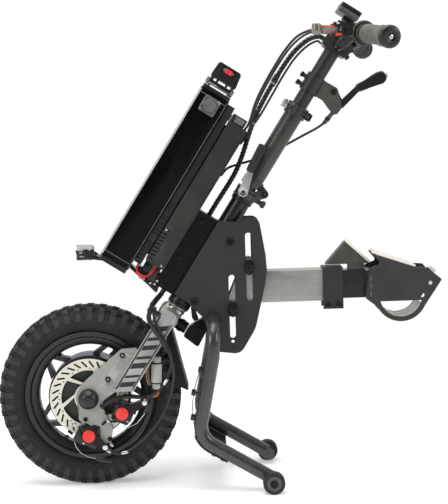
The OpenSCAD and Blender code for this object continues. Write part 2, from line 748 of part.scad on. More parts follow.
// Round cap over the charge socket, hinged at its front edge
hinge_pin_d = 2;
module charge_cap() {
    half = charge_cap_d / 2 + 3;
    y = -battery_w / 2 - charge_flange_t - gap;
    hinge = [charge_p - half + 2, -battery_w / 2 - charge_flange_t - 2.5];
    color("#2c2d30") raked() {
        translate([charge_p, y, charge_h]) rotate([90, 0, 0]) rotate_extrude()
            polygon(rounded([[0, 0, 0], [charge_cap_d / 2 - 1, 0, 0], [charge_cap_d / 2 - 1, 5, 2],
                             [0, 5, 0]]));
        translate([hinge.x, hinge.y, charge_h - 4.7]) cylinder(d = 5, h = 9.4);
        translate([hinge.x, hinge.y, charge_h - 9]) cylinder(d = hinge_pin_d, h = 18);
        block([hinge.x, charge_p - charge_cap_d / 2 + 4], [hinge.y - 2, hinge.y + 1],
              [charge_h - 4.7, charge_h + 4.7]);
    }
}

// Hook under the head block that holds the stand's claw down
module stand_hook() {
    color("#222224") raked() slab(-5, 5)
        polygon(rounded([[25, block_h[0], 0], [25, 14, 3], [38, -3, 3], [46, -7, 2], [52, 1, 3],
                         [32, 18, 3], [32, block_h[0], 0]]));
}

// Stem base clamped on the steerer, with hinge ears, stop screw and latch boss
ear_in = 8.5 + gap;
ear_t = 6;
latch_at = [-8, 11];
module stem_base() {
    mid = base_h + base_l / 2;
    color("#4a4844") raked() {
        difference() {
            union() {
                translate([0, 0, base_h]) cylinder(d = 46, h = base_l);
                for (side = [0, 1]) mirror([0, side, 0]) slab(-ear_in - ear_t, -ear_in) hull() {
                    translate([fold_p, fold_h]) circle(8, $fn = 32);
                    translate([12, base_h]) square([6, base_l - 1]);
                }
            }
            translate([0, 0, base_h - 1]) cylinder(d = steerer_d, h = base_l + 1 - base_top);
        }
        translate([0, 0, base_h + base_l]) cylinder(d = 28, h = fold_h - base_h - base_l - gap);
        pin([fold_p, fold_h], fold_pin_d, -ear_in - ear_t - 2, ear_in + ear_t + 2);
        translate([18, 0, mid - 2]) rotate([0, 90, 0]) {
            cylinder(d = 10, h = 24);
            translate([0, 0, 20]) cylinder(d = 15, h = 7, $fn = 6);
        }
        pin([latch_at.x, base_h + latch_at.y], 8, -34, -15);
    }
}

// Folding stem tube with hinge knuckle at its foot and clamp collar at its head
collar_h = 24;
skewer_y = -stem_d / 2 - 10.5;
module stem_tube() {
    mid = stem_top + 12 - collar_h / 2;
    color("#4a4844") raked() difference() {
        union() {
            translate([0, 0, fold_h]) cylinder(d = stem_d, h = stem_l);
            translate([0, 0, fold_h]) cylinder(d = 44, h = 14);
            slab(-8.5, 8.5) hull() {
                translate([fold_p, fold_h]) circle(8.6, $fn = 32);
                translate([12, fold_h + 2]) square([8, 12]);
            }
            translate([0, 0, stem_top + 12 - collar_h]) cylinder(d = stem_d + 8, h = collar_h);
            block([-11, 11], [skewer_y - 7, -stem_d / 2], [mid - 9, mid + 9]);
            translate([-34, skewer_y, mid]) rotate([0, 90, 0]) cylinder(d = 6, h = 34 + cam_p - 3);
            translate([cam_p, skewer_y, mid - eye_t / 2]) cylinder(d = 9, h = eye_t);
            translate([-34, skewer_y, mid]) rotate([0, 90, 0]) cylinder(d = 17, h = 11);
        }
        translate([0, 0, fold_h + 20]) cylinder(d = bar_tube_d + 2 * run, h = stem_l + 20);
        block([-1, 1], [skewer_y - 8, -bar_tube_d / 2 + 1], [mid - collar_h, mid + 5 * collar_h]);
        pin([fold_p, fold_h], fold_pin_d + 2 * run, -20, 20);
        translate([cam_p, skewer_y, mid - 9]) cylinder(d = cam_pin_d + 2 * run, h = 18);
    }
}

// Cam lever of the height clamp, lying across the back of the tube
cam_p = stem_d / 2 + 4.5;
cam_pin_d = 4;
eye_t = 7;
module height_lever() {
    mid = stem_top + 12 - collar_h / 2;
    color("#2d2d2f") raked() translate([cam_p, skewer_y, mid]) {
        difference() {
            union() {
                translate([0, 0, -8]) cylinder(d = 15, h = 16);
                translate([3, 0, -6]) cube([6, 62, 12]);
            }
            translate([0, 0, -eye_t / 2 - gap]) cylinder(d = 19, h = eye_t + 2 * gap);
        }
        translate([0, 0, -8]) cylinder(d = cam_pin_d, h = 16);
    }
}

// Latch lever on the side of the stem base
module stem_latch() {
    y = -27 - gap;
    at = [latch_at.x, base_h + latch_at.y];
    color("#c6c7c9") raked() difference() {
        slab(y - 6, y) union() {
            hull() {
                translate(at) circle(10, $fn = 32);
                translate(at + [-10, 46]) circle(6, $fn = 32);
            }
            hull() {
                translate(at + [-10, 46]) circle(6, $fn = 32);
                translate(at + [-13, 84]) circle(8, $fn = 32);
            }
        }
        pin(at, 8 + 2 * run, y - 8, y + 1);
    }
}

// Bar tube that slides in the stem, with the clamp head for the handlebar
bar_tube_low = fold_h + 54;
module bar_tube() {
    color("#46443f") raked() difference() {
        union() {
            translate([0, 0, bar_tube_low]) cylinder(d = bar_tube_d, h = bar_h - bar_tube_low);
            slab(-24, 24) polygon(box2(bar_p - 31, bar_p + 27, bar_h - 15, bar_h + 16, 8));
        }
        translate([0, 0, bar_tube_low - 1]) cylinder(d = bar_tube_d - 6, h = bar_h - bar_tube_low - 20);
        pin([bar_p, bar_h], bar_d + 2 * run, -30, 30);
    }
}

// Riser handlebar, swept back and down at its ends
module handlebar() {
    left = bent(concat([[bar_p, 0, bar_h]], bar_path), 24);
    n = len(left) - 1;
    path = [for (i = [-n:n]) [left[abs(i)].x, i > 0 ? -left[i].y : left[-i].y, left[abs(i)].z]];
    color("#2a2a2b") raked() sweep(path, bar_d, 16);
}

// Grips: flange at the inner end, capped outer end
grip_start = 8;
grip_gap = 0.2;
module grip(flange) {
    l = norm(grip_to - grip_from);
    aim(grip_from, grip_to) difference() {
        union() {
            translate([0, 0, grip_start]) cylinder(d = grip_d, h = l - grip_start);
            translate([0, 0, grip_start]) cylinder(d = flange, h = 9);
            translate([0, 0, l - 6]) cylinder(d = grip_d + 10, h = 13);
        }
        translate([0, 0, grip_start - 1])
            cylinder(d = bar_d + 2 * grip_gap, h = l - grip_start + 1 + grip_gap);
    }
}
module throttle_grip() {
    color("#202021") raked() grip(grip_d + 9);
}
module grip_right() {
    color("#202021") raked() mirror([0, 1, 0]) grip(grip_d + 6);
}

// Display on a post above the bar clamp
module display() {
    low = bar_h + 58;
    color("#8b8d8c") raked() {
        slab(-40, 40) polygon(box2(-36, 10, low, low + 22, 5));
        block([-16, 4], [-11, 11], [bar_h + 16, low]);
    }
}

// Brake perch: clamp on the handlebar with an arm to the lever's pivot
module brake_perch() {
    x = lever_pivot.x;
    y = lever_pivot.y;
    color("#1d1d1f") {
        difference() {
            union() {
                raked() aim(bar_path[1], bar_path[2]) translate([0, 0, 9]) cylinder(d = bar_d + 12, h = 15);
                at_head() translate([0, 0, lever_pivot.z - 12]) linear_extrude(24)
                    polygon(rounded([[x - 9, y - 9, 8], [x + 44, y - 14, 2], [x + 44, y - 1, 2],
                                     [x - 9, y + 9, 8]]));
            }
            raked() aim(bar_path[1], bar_path[2]) translate([0, 0, -20])
                cylinder(d = bar_d + 2 * grip_gap, h = 60);
            at_head() translate([x - 30, y - 46, lever_pivot.z - 7.3]) cube([42, 90, 14.6]);
        }
        at_head() translate(lever_pivot + [0, 0, -14]) cylinder(d = lever_pin_d, h = 28);
    }
}

// Polished brake lever: hub, forward arm and blade with a ball end
lever_pin_d = 8;
module brake_lever() {
    reach = lever_pivot + [-36, -12, 0];
    tip = lever_pivot + [-45, -100, 0];
    color("#d2d3d5") at_head() difference() {
        translate([0, 0, lever_pivot.z - 7]) linear_extrude(14) {
            hull() {
                translate([lever_pivot.x, lever_pivot.y]) circle(9, $fn = 32);
                translate([reach.x, reach.y]) circle(11, $fn = 32);
            }
            hull() {
                translate([reach.x, reach.y]) circle(11, $fn = 32);
                translate([tip.x, tip.y]) circle(8, $fn = 32);
            }
        }
        translate(lever_pivot + [0, 0, -10]) cylinder(d = lever_pin_d + 2 * run, h = 20);
    }
}

// Parking brake bracket: strap round the bar tube and two cheeks for the lever
cheek_in = 5 + gap;
module park_bracket() {
    color("#8d8e8b") raked() {
        difference() {
            union() {
                translate([0, 0, park_h + 14]) cylinder(d = bar_tube_d + 8, h = 38);
                for (side = [0, 1]) mirror([0, side, 0])
                    slab(-cheek_in - 4, -cheek_in)
                        polygon(rounded([[8, park_h + 16, 0], [35, park_h + 16, 2], [54, park_h + 8, 4],
                                         [74, park_h + 2, 6], [76, park_h + 24, 6], [48, park_h + 52, 9],
                                         [8, park_h + 51, 0]]));
                block([16, 30], [-cheek_in - 1, cheek_in + 1], [park_h + 18, park_h + 50]);
                for (h = [22, 40]) translate([-26, 0, park_h + h]) rotate([0, 90, 0]) cylinder(d = 9, h = 8);
                block([60, 72], [-cheek_in - 1, cheek_in + 1], [park_h + 5, park_h + 9]);
                aim([66, 0, park_h + 6], [62, 0, park_h - 20]) cylinder(d = 9, h = 26);
            }
            translate([0, 0, park_h]) cylinder(d = bar_tube_d, h = 60);
            slab(-cheek_in, cheek_in)
                polygon([[31, park_h + 9], [90, park_h + 9], [90, park_h + 60], [31, park_h + 60]]);
        }
        pin(park_pivot, park_pin_d, -cheek_in - 6, cheek_in + 6);
    }
}

// Parking brake lever with its hand grip, released: it leans back on its pivot
park_lean = 6;
module leaning() {
    translate([park_pivot.x, 0, park_pivot.y]) rotate([0, park_lean, 0])
        translate([-park_pivot.x, 0, -park_pivot.y]) children();
}
module park_lever() {
    hinge = [73, park_h + 30];
    color("#1f1f20") raked() leaning() difference() {
        union() {
            slab(-5, 5) {
                hull() {
                    translate(park_pivot) circle(9, $fn = 32);
                    translate(hinge) circle(7, $fn = 32);
                }
                hull() {
                    translate(hinge) circle(7, $fn = 32);
                    translate([80, park_h + 78]) circle(6, $fn = 32);
                }
            }
            slab(-11, 11) hull() {
                translate([82, park_h + 82]) circle(7, $fn = 32);
                translate([103, park_h + 121]) circle(12, $fn = 32);
            }
        }
        pin(park_pivot, park_pin_d + 2 * run, -20, 20);
        aim([92, 0, park_h + 100], [110, 0, park_h + 134]) translate([0, 0, 12])
            cylinder(d = button_d + 2 * run, h = 60);
    }
}

// Release button in the end of the hand grip
button_d = 10;
module park_button() {
    color("#e4e3de") raked() leaning() aim([92, 0, park_h + 100], [110, 0, park_h + 134])
        translate([0, 0, 18]) cylinder(d = button_d, h = 22);
}

// Outer arm tube with the two cheeks that the height bolts go through
module arm_tube() {
    z = [arm_z - arm_h / 2, arm_z + arm_h / 2];
    y = arm_w / 2;
    color("#9a9c96") at_head() difference() {
        union() {
            block([arm_x, arm_end], [-y, y], z);
            for (side = [0, 1]) mirror([0, side, 0]) slab(-plate_y + gap, -y) hull() {
                translate(upper_slot) circle(16, $fn = 32);
                translate(lower_slot) circle(16, $fn = 32);
                translate([arm_x + 30, z[0] + 6]) square([10, arm_h - 12]);
            }
        }
        block([arm_x + 60, arm_end + 1], [-y + arm_wall, y - arm_wall], [z[0] + arm_wall, z[1] - arm_wall]);
        for (at = [upper_slot, lower_slot]) pin(at, arm_bolt_d + 2 * run, -plate_gap, plate_gap);
    }
}

// Height bolts with long washers, and the two bolts of the arm clamp
module arm_bolts() {
    face = plate_y + plate_t + gap;
    color("#8c8d8f") at_head() {
        for (at = [upper_slot, lower_slot]) {
            pin(at, arm_bolt_d, -face - 6, face + 6);
            for (side = [0, 1]) mirror([0, side, 0]) {
                slab(-face - 4, -face) translate(at) polygon(box2(-10, 10, -16.5, 16.5, 9.5));
                pin(at, 1.5 * arm_bolt_d, -face - 10, -face - 4);
            }
        }
        for (k = [10, clamp_l - 10]) {
            at = [clamp_x + k, arm_z - arm_h / 2 - 9];
            pin(at, 8, -arm_w / 2 - clamp_t - 6, arm_w / 2 + clamp_t + 6);
            for (side = [0, 1]) mirror([0, side, 0])
                pin(at, 14, -arm_w / 2 - clamp_t - 5, -arm_w / 2 - clamp_t);
        }
    }
}

// Strap that squeezes the arm's end on the dock tube
module arm_clamp() {
    z = [arm_z - arm_h / 2 - clamp_drop, arm_z + arm_h / 2];
    y = arm_w / 2;
    color("#2b2b2d") at_head() difference() {
        block([clamp_x, clamp_x + clamp_l], [-y - clamp_t, y + clamp_t], [z[0], z[1] + clamp_t]);
        block([clamp_x - 1, clamp_x + clamp_l + 1], [-y, y], [z[0] - 1, z[1]]);
        for (k = [10, clamp_l - 10]) pin([clamp_x + k, arm_z - arm_h / 2 - 9], 8 + 2 * run, -arm_w, arm_w);
    }
}

// Dock tube that slides in the arm, with the cross head between the hook plates
module dock_tube() {
    h = dock_tube_h / 2;
    w = dock_tube_w / 2;
    color("#222223") at_head() {
        difference() {
            block([arm_end - 106, hook_x + 18], [-w, w], [arm_z - h, arm_z + h]);
            block([arm_end - 107, hook_x - 10], [-w + 3, w - 3], [arm_z - h + 3, arm_z + h - 3]);
        }
        block([hook_x + 6, hook_x + 26], [-hook_y, hook_y], [arm_z - h + 4, arm_z + h]);
    }
}

// Hook plates that take the wheelchair's cross bar and lock pin
module hook_plate(side) {
    x = hook_x;
    color("#3b3a38") at_head() difference() {
        mirror([0, side > 0 ? 1 : 0, 0]) slab(-hook_y - hook_t, -hook_y)
            polygon(rounded([[x + 5, 10, 4],
                             for (a = [205:6.5:335]) [x + 77 + 53 * cos(a), 14 + 53 * sin(a), 0],
                             [x + 160.7, 44.5, 3], [x + 141, 61, 2],
                             [x + 134, 69, 3], [x + 111, 71, 10], [x + 18.6, 103, 2], [x + 37, 80, 4],
                             [x + 13, 71, 5]]));
        intersection() {
            pin([x + 77, 14], 87, -hook_gap, hook_gap);
            translate([x, -hook_gap, -60]) cube([160, 2 * hook_gap, 63]);
        }
        pin(lock_pin, lock_pin_d, -hook_gap, hook_gap);
        pin(latch_pin, latch_pin_d + 2 * run, -hook_gap, hook_gap);
    }
}
module hook_plate_left() { hook_plate(-1); }
module hook_plate_right() { hook_plate(1); }

// Pale liners between the hook plates: ramp along the top edge, trough under the opening
module hook_liner() {
    x = hook_x;
    color("#cfc8b8") at_head() {
        slab(-hook_y, hook_y) polygon([[x + 24, 101], [x + 108, 72], [x + 107, 68], [x + 27, 95.6]]);
        difference() {
            pin([x + 77, 14], 94, -hook_y, hook_y);
            pin([x + 77, 14], 88, -hook_gap, hook_gap);
            translate([x, -hook_gap, -4]) cube([160, 2 * hook_gap, 100]);
        }
    }
}

// Wedge that guides the cross bar into the hook slot
module dock_wedge() {
    x = hook_x;
    top = arm_z + dock_tube_h / 2;
    color("#2a2a2a") at_head() {
        slab(-16, 16) polygon(rounded([[x - 73, 79, 0], [x + 16, 79, 0], [x + 16, 80, 0], [x - 32, 125, 2]]));
        slab(-16, 16) polygon([[x - 26, top], [x + 6, top], [x + 6, 79], [x - 26, 79]]);
    }
}

// Spring latch on its pin between the hook plates
latch_pin_d = 8;
module dock_latch() {
    color("#dcdcd8") at_head() {
        pin(latch_pin, latch_pin_d, -hook_y - hook_t, hook_y + hook_t);
        slab(-9, 9) translate(latch_pin)
            polygon(rounded([[-8, -8, 6], [8, -8, 6], [10, 10, 4], [18, 22, 3], [8, 30, 3], [-4, 26, 3]]));
    }
}

// Stand: cross tube through the side plates, with the claw that meets the fork's stub
claw_p = stub_l + 2.5;
module stand_tube() {
    color("#45464a") at_head() {
        pin(pivot, stand_d, -plate_y - plate_t - 20, plate_y + plate_t + 20);
        slab(-14, 14) union() {
            translate(pivot) circle(d = stand_d + 14);
            polygon(rounded([[each pivot + [-8, -14], 2], [each ax(stub_h - 20, stub_l + 40), 4],
                             [each ax(stub_h - 16, claw_p), 3], [each ax(stub_h + 8, claw_p), 3],
                             [each pivot + [-16, 4], 2]]));
        }
    }
}

// Stand legs: bent tube from the cross tube to the castor axle
foot_z = castor_d / 2;
module stand_leg(side) {
    y = stand_w / 2;
    start = plate_y + plate_t + 20;
    drop = pivot.y + head_z;
    path = bent([[pivot.x, -start, drop], [pivot.x, -y, drop], [shin.x, -y, shin.y], [knee.x, -y, knee.y],
                 [foot_x - 3, -y, foot_z + 4]], knee_r);
    color("#45464a") translate([head_x, 0, 0]) mirror([0, side > 0 ? 1 : 0, 0]) {
        sweep(path, stand_d, 16);
        pin([foot_x, foot_z], stand_d - 1, -y - stand_d / 2 - 0.6, -y + stand_d / 2);
        pin([foot_x, foot_z], castor_pin_d, -castor_y - castor_w - 3, -y);
        pin([foot_x, foot_z], castor_pin_d + 6, -castor_y - castor_w - 5, -castor_y - castor_w - gap);
    }
}
module stand_leg_left() { stand_leg(-1); }
module stand_leg_right() { stand_leg(1); }

// Step: sheet under both legs, bent round the outside of the knees
module stand_step() {
    run_dir = unit([foot_x - 3, foot_z + 4] - knee);
    back = unit(shin - knee);
    half = acos(run_dir * back) / 2;
    mid = knee + unit(run_dir + back) * knee_r / sin(half);
    flat_from = knee + run_dir * knee_r / tan(half) - mid;
    last = atan2(flat_from.y, flat_from.x);
    inner = knee_r + stand_d / 2 + gap;
    side = [for (a = [last - 40:5:last]) [cos(a), sin(a)]];
    color("#2b2c2e") translate([head_x, 0, 0])
        slab(-stand_w / 2 - 4, stand_w / 2 + 4)
            polygon([for (d = side) mid + d * inner,
                     mid + flat_from * inner / knee_r + run_dir * step_l,
                     mid + flat_from * (inner + 3) / knee_r + run_dir * step_l,
                     for (i = [len(side) - 1:-1:0]) mid + side[i] * (inner + 3)]);
}

// Castor on the stub axle of a stand leg
module castor(side) {
    r = castor_d / 2;
    color("#232325") translate([head_x + foot_x, 0, foot_z]) mirror([0, side > 0 ? 1 : 0, 0])
        translate([0, -castor_y, 0]) rotate([90, 0, 0]) rotate_extrude()
            polygon(rounded([[castor_pin_d / 2 + run, 0, 0], [r - 6, 0, 0], [r, 2, 2], [r, castor_w - 2, 2],
                             [r - 6, castor_w, 0], [castor_pin_d / 2 + run, castor_w, 0]]));
}
module castor_left() { castor(-1); }
module castor_right() { castor(1); }

// Loom from bar to controller, brake cables beside it and the leads down to the fork
module cable_loom() {
    color("#121213") raked() {
        sweep(loom_path, 12, 10);
        sweep(bar_cable_path, 5);
        sweep(throttle_path, 4.5, 6);
        sweep(display_path, 4.5, 6);
        sweep(park_cable_path, 5);
        sweep(lead_path, 12);
    }
}

side_plate_left();
side_plate_right();
head_tube();
plate_bolts();
battery_bracket();
controller_housing();
battery_case();
battery_caps();
switch_housing();
stand_hook();
cable_loom();
rocker_switch();
charge_cap();
headlamp();
fork_crown();
fork_leg_left();
fork_leg_right();
dropout_left();
dropout_right();
axle();
motor_stator();
brake_calipers();
caliper_knobs();
mud_flap();
fork_cables();
stem_base();
caliper_arm_main();
caliper_arm_park();
tyre();
rim();
hub_cover();
brake_disc();
stem_tube();
stem_latch();
height_lever();
bar_tube();
handlebar();
grip_right();
display();
brake_perch();
park_bracket();
throttle_grip();
brake_lever();
park_lever();
park_button();
arm_tube();
arm_bolts();
arm_clamp();
dock_tube();
hook_plate_left();
hook_plate_right();
hook_liner();
dock_wedge();
dock_latch();
stand_tube();
stand_leg_left();
stand_leg_right();
stand_step();
castor_left();
castor_right();
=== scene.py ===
from math import atan2, cos, pi, radians, sin

import bmesh
import bpy
from mathutils import Matrix, Vector


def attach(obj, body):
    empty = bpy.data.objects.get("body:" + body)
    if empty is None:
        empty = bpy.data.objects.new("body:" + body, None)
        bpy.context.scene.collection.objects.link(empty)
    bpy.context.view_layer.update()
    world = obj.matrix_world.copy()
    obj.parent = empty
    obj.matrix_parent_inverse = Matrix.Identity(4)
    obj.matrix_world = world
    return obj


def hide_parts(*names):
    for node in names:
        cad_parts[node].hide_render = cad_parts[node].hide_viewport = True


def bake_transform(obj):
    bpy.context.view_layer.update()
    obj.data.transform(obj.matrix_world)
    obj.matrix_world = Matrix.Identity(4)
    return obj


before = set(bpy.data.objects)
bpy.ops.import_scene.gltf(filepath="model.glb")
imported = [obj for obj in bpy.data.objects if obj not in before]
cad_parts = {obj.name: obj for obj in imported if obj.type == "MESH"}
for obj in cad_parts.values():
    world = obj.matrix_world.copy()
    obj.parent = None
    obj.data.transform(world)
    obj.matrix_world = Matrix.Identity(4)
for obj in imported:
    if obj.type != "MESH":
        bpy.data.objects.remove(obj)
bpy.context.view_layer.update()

# Knobby tyre: moulded black rubber, 375 by 64 mm, pressed on the cast rim. Two staggered rows
# of tread blocks, a row of tilted shoulder blocks and flat side lugs stand on a smooth carcass.


def move(x, y, z):
    """A shift of a frame."""
    return Matrix.Translation((x, y, z))


def swing(degrees, axis):
    """A turn about one axis of a frame."""
    return Matrix.Rotation(radians(degrees), 4, axis)


# The wheel's middle, and a turn that points a shape's z to the rider's left.
AXLE = move(-268.468, 0, 187.5)
ACROSS = swing(90, "X")


def linear(code):
    """An sRGB hex colour as the linear colour that a shader takes."""
    parts = [int(code[i:i + 2], 16) / 255 for i in (1, 3, 5)]
    return [c / 12.92 if c <= 0.04045 else ((c + 0.055) / 1.055) ** 2.4 for c in parts] + [1]


def set_inputs(tree, node, values):
    """A shader node's inputs: a socket is joined to its input, and any other value is put in it."""
    for name, value in values.items():
        if isinstance(value, bpy.types.NodeSocket):
            tree.links.new(value, node.inputs[name])
        else:
            node.inputs[name].default_value = value


def add_node(tree, kind, values, **settings):
    """One new shader node: settings are its options, values its inputs."""
    made = tree.nodes.new("ShaderNode" + kind)
    for name, value in settings.items():
        setattr(made, name, value)
    set_inputs(tree, made, values)
    return made


def new_finish(name):
    """A material to fill in: itself, its nodes, its shader and the place that its patterns follow."""
    made = bpy.data.materials.new(name)
    made.use_nodes = True
    tree = made.node_tree
    place = add_node(tree, "TexCoord", {}).outputs["Object"]
    return made, tree, tree.nodes["Principled BSDF"], place


def surface(name, dark, light, rough, grain, depth, cloud=45, metal=0, spec=0.5):
    """A finish whose colour drifts between two tones over cloud mm, with grain mm specks depth mm deep."""
    made, tree, shader, place = new_finish(name)
    drift = add_node(tree, "TexNoise", {"Vector": place, "Scale": 1000 / cloud, "Detail": 3})
    speck = add_node(tree, "TexNoise", {"Vector": place, "Scale": 1000 / grain, "Detail": 2})
    mixed = add_node(tree, "Math", {0: drift.outputs["Fac"], 1: speck.outputs["Fac"]}, operation="ADD")
    shade = add_node(tree, "MapRange", {"Value": mixed.outputs[0], "From Min": 0.72, "From Max": 1.28})
    colour = add_node(tree, "Mix", {"Factor": shade.outputs[0], 6: linear(dark), 7: linear(light)},
                      data_type="RGBA")
    gloss = add_node(tree, "MapRange", {"Value": mixed.outputs[0], "From Min": 0.7, "From Max": 1.3,
                                        "To Min": rough - 0.06, "To Max": rough + 0.08})
    relief = add_node(tree, "Bump", {"Height": speck.outputs["Fac"], "Strength": 0.6,
                                     "Distance": depth / 1000})
    set_inputs(tree, shader, {"Base Color": colour.outputs[2], "Roughness": gloss.outputs[0],
                              "Normal": relief.outputs[0], "Metallic": metal, "Specular IOR Level": spec})
    return made


def turned(profile, steps=48):
    """A profile of (radius, along) spun about z."""
    bm = bmesh.new()
    line = [bm.verts.new((r, 0, z)) for r, z in profile]
    for a, b in zip(line, line[1:]):
        bm.edges.new((a, b))
    bmesh.ops.spin(bm, geom=bm.verts[:] + bm.edges[:], axis=(0, 0, 1), cent=(0, 0, 0), angle=2 * pi,
                   steps=steps, use_merge=True)
    bmesh.ops.remove_doubles(bm, verts=bm.verts, dist=0.002)
    bmesh.ops.recalc_face_normals(bm, faces=bm.faces)
    return bm


def rod(radius, low, high, steps):
    """A plain round bar along z."""
    return turned([(0, low), (radius, low), (radius, high), (0, high)], steps)


def brick(size, edge=0.0, steps=1):
    """A rectangular block with rounded edges, centred on its place."""
    bm = bmesh.new()
    bmesh.ops.create_cube(bm, size=1, matrix=Matrix.Diagonal((*size, 1)))
    if edge:
        bmesh.ops.bevel(bm, geom=bm.edges[:], offset=edge, affect="EDGES", segments=steps, profile=0.5,
                        material=-1)
    return bm


def put(bm, at):
    """Moves a shape to a frame, and turns its faces round where the frame is mirrored."""
    bmesh.ops.transform(bm, matrix=at, verts=bm.verts)
    if at.determinant() < 0:
        bmesh.ops.reverse_faces(bm, faces=bm.faces)


def join(whole, part, at=Matrix(), tint=0):
    """Puts a finished shape into a piece, at its place and in one of the piece's finishes."""
    put(part, at)
    for face in part.faces:
        face.material_index = tint
    mesh = bpy.data.meshes.new("part")
    part.to_mesh(mesh)
    part.free()
    whole.from_mesh(mesh)
    bpy.data.meshes.remove(mesh)


def piece(name, bm, body, finishes, at=Matrix(), stands_for=(), edge=0, steps=2, crease=38):
    """A shape drawn in millimetres becomes a piece of the object, in metres, riding on its body."""
    put(bm, Matrix.Scale(0.001, 4) @ at)
    mesh = bpy.data.meshes.new(name)
    bm.to_mesh(mesh)
    bm.free()
    for finish in finishes:
        mesh.materials.append(finish)
    mesh.shade_smooth()
    mesh.set_sharp_from_angle(angle=radians(crease))
    made = bpy.data.objects.new(name, mesh)
    bpy.context.scene.collection.objects.link(made)
    if edge:
        rounding = made.modifiers.new("rounded edges", "BEVEL")
        rounding.width = edge / 1000
        rounding.segments = steps
        rounding.limit_method = "ANGLE"
        rounding.angle_limit = radians(crease)
        rounding.harden_normals = True
    if body:
        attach(made, body)
    if stands_for:
        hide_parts(*stands_for)
    return made


# Tyre rubber, moulded: dull black with a fine pebble grain. The blocks are paler, partly scuffed by the
# road and partly a painted highlight on their tops, and the carcass round them is darker as painted shade.
tyre_rubber = surface("tyre rubber, moulded", "#141415", "#2a2a29", 0.68, 2.5, 0.3, cloud=26, spec=0.3)
tread_scuff_and_highlight = surface("tyre rubber, scuffed and painted highlight", "#232323", "#3f3e3c", 0.7, 2.0, 0.4, cloud=16,
                       spec=0.35)
half = [(125.2, 19.5), (131.4, 20), (134, 24), (137.5, 28.6), (145, 30.6), (155, 31.2), (163, 30.4),
        (170, 27.5), (175, 22), (177.6, 14), (178.4, 6)]
carcass = turned([(r, -z) for r, z in half] + [(r, z) for r, z in half[::-1]] + [(125.2, -19.5)], 96)
tyre = bmesh.new()
join(tyre, carcass, ACROSS)
bead = turned([(139.2, 29.4), (140.4, 31.4), (142.4, 31.6), (143.6, 30.2), (139.2, 29.4)], 96)
join(tyre, bead.copy(), ACROSS)
join(tyre, bead, ACROSS @ swing(180, "X"))
blocks = 44
knob = brick((11, 14.5, 15.5), 1.6)
shoulder = brick((13, 13.5, 13), 2.2)
lug = brick((21, 4.4, 12.5), 1.3)
for i in range(blocks):
    for side in (-1, 1):
        here = swing(360 * (i + 0.25 * side) / blocks, "Y")
        gap = swing(360 * (i + 0.25 * side + 0.5) / blocks, "Y")
        join(tyre, knob.copy(), here @ move(181.2, 8.6 * side, 0), 1)
        join(tyre, shoulder.copy(), gap @ move(176.2, 21.4 * side, 0) @ swing(38 * side, "Z"), 1)
        join(tyre, lug.copy(), gap @ move(165, 27.6 * side, 0) @ swing(-14 * side, "Z"), 1)
for shape in (knob, shoulder, lug):
    shape.free()
piece("tyre_knobby", tyre, "wheel", [tyre_rubber, tread_scuff_and_highlight], AXLE, ["tyre"], crease=30)

# Rim, spokes and hub drum: one aluminium casting with five twin spokes, painted satin black,
# with a thin grey ring at each lip as a painted highlight, and a rubber tyre valve through the well.


def copied(name):
    """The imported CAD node's mesh, merged to whole faces, in millimetres."""
    bm = bmesh.new()
    bm.from_mesh(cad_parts[name].data)
    bmesh.ops.remove_doubles(bm, verts=bm.verts, dist=2e-6)
    bmesh.ops.dissolve_limit(bm, angle_limit=radians(1), verts=bm.verts, edges=bm.edges)
    bmesh.ops.scale(bm, vec=(1000, 1000, 1000), verts=bm.verts)
    return bm


def cad_piece(name, body, finishes, edge=0.8, steps=2, extra=(), at=Matrix()):
    """A CAD node with its edges rounded as the real part's are, and details joined to it in a frame."""
    bm = copied(name)
    for part, spot, tint in extra:
        join(bm, part, at @ spot, tint)
    return piece(name + "_made", bm, body, finishes, stands_for=[name], edge=edge, steps=steps)


# Black paint on a casting: satin, faintly uneven, a soft pebble from the mould.
cast_black = surface("black paint on cast aluminium", "#18181a", "#28282a", 0.38, 1.6, 0.06, cloud=70)
# Painted highlight: grey metal for the thin ring round each lip, where light runs along the rim's edge.
lip_highlight_grey = surface("grey lip ring, painted highlight", "#3f3f3e", "#5d5d5b", 0.36, 0.8, 0.02, metal=0.6)
# Turned aluminium, clean: bright and even, with a fine grain.
bright_lip = surface("turned aluminium", "#b9bab8", "#dcdcd8", 0.24, 0.8, 0.02, metal=1)
# Moulded rubber: dull black with wide soft highlights.
rubber_black = surface("moulded rubber, black", "#141414", "#242423", 0.62, 1.2, 0.06, cloud=30)
cad_piece("rim", "wheel", [cast_black], 1.4)
# Painted highlight: a grey ring on each lip of the rim.
lip = bmesh.new()
line = turned([(131.2, 24.4), (132.3, 25.2), (131.9, 26.3), (130.6, 25.6), (131.2, 24.4)], 128)
join(lip, line.copy(), ACROSS)
join(lip, line, ACROSS @ swing(180, "X"))
piece("rim_lip_highlight", lip, "wheel", [lip_highlight_grey], AXLE)
valve = turned([(0, -2), (6.5, -2), (6.5, 1.5), (4, 4), (3.6, 17), (0, 17)], 20)
join(valve, turned([(0, 16), (4.2, 16), (4.2, 25), (3.2, 26.4), (0, 26.4)], 20), tint=1)
valve_at = AXLE @ swing(-127, "Y") @ move(106, 0, 0) @ swing(-62, "Z") @ swing(-90, "Y")
piece("tyre_valve", valve, "wheel", [rubber_black, bright_lip], valve_at)

# Hub cover: a cast aluminium plate that closes the drum's mouth, painted the same satin
# black. It is screwed in at its rim, and the brake disc is bolted on the boss in its middle.
cad_piece("hub_cover", "wheel", [cast_black], 1.0)

# Brake disc: 2 mm steel, stamped with six swept arms and slanted vent
# slits, ground flat, then bolted to the hub's boss with six button screws.


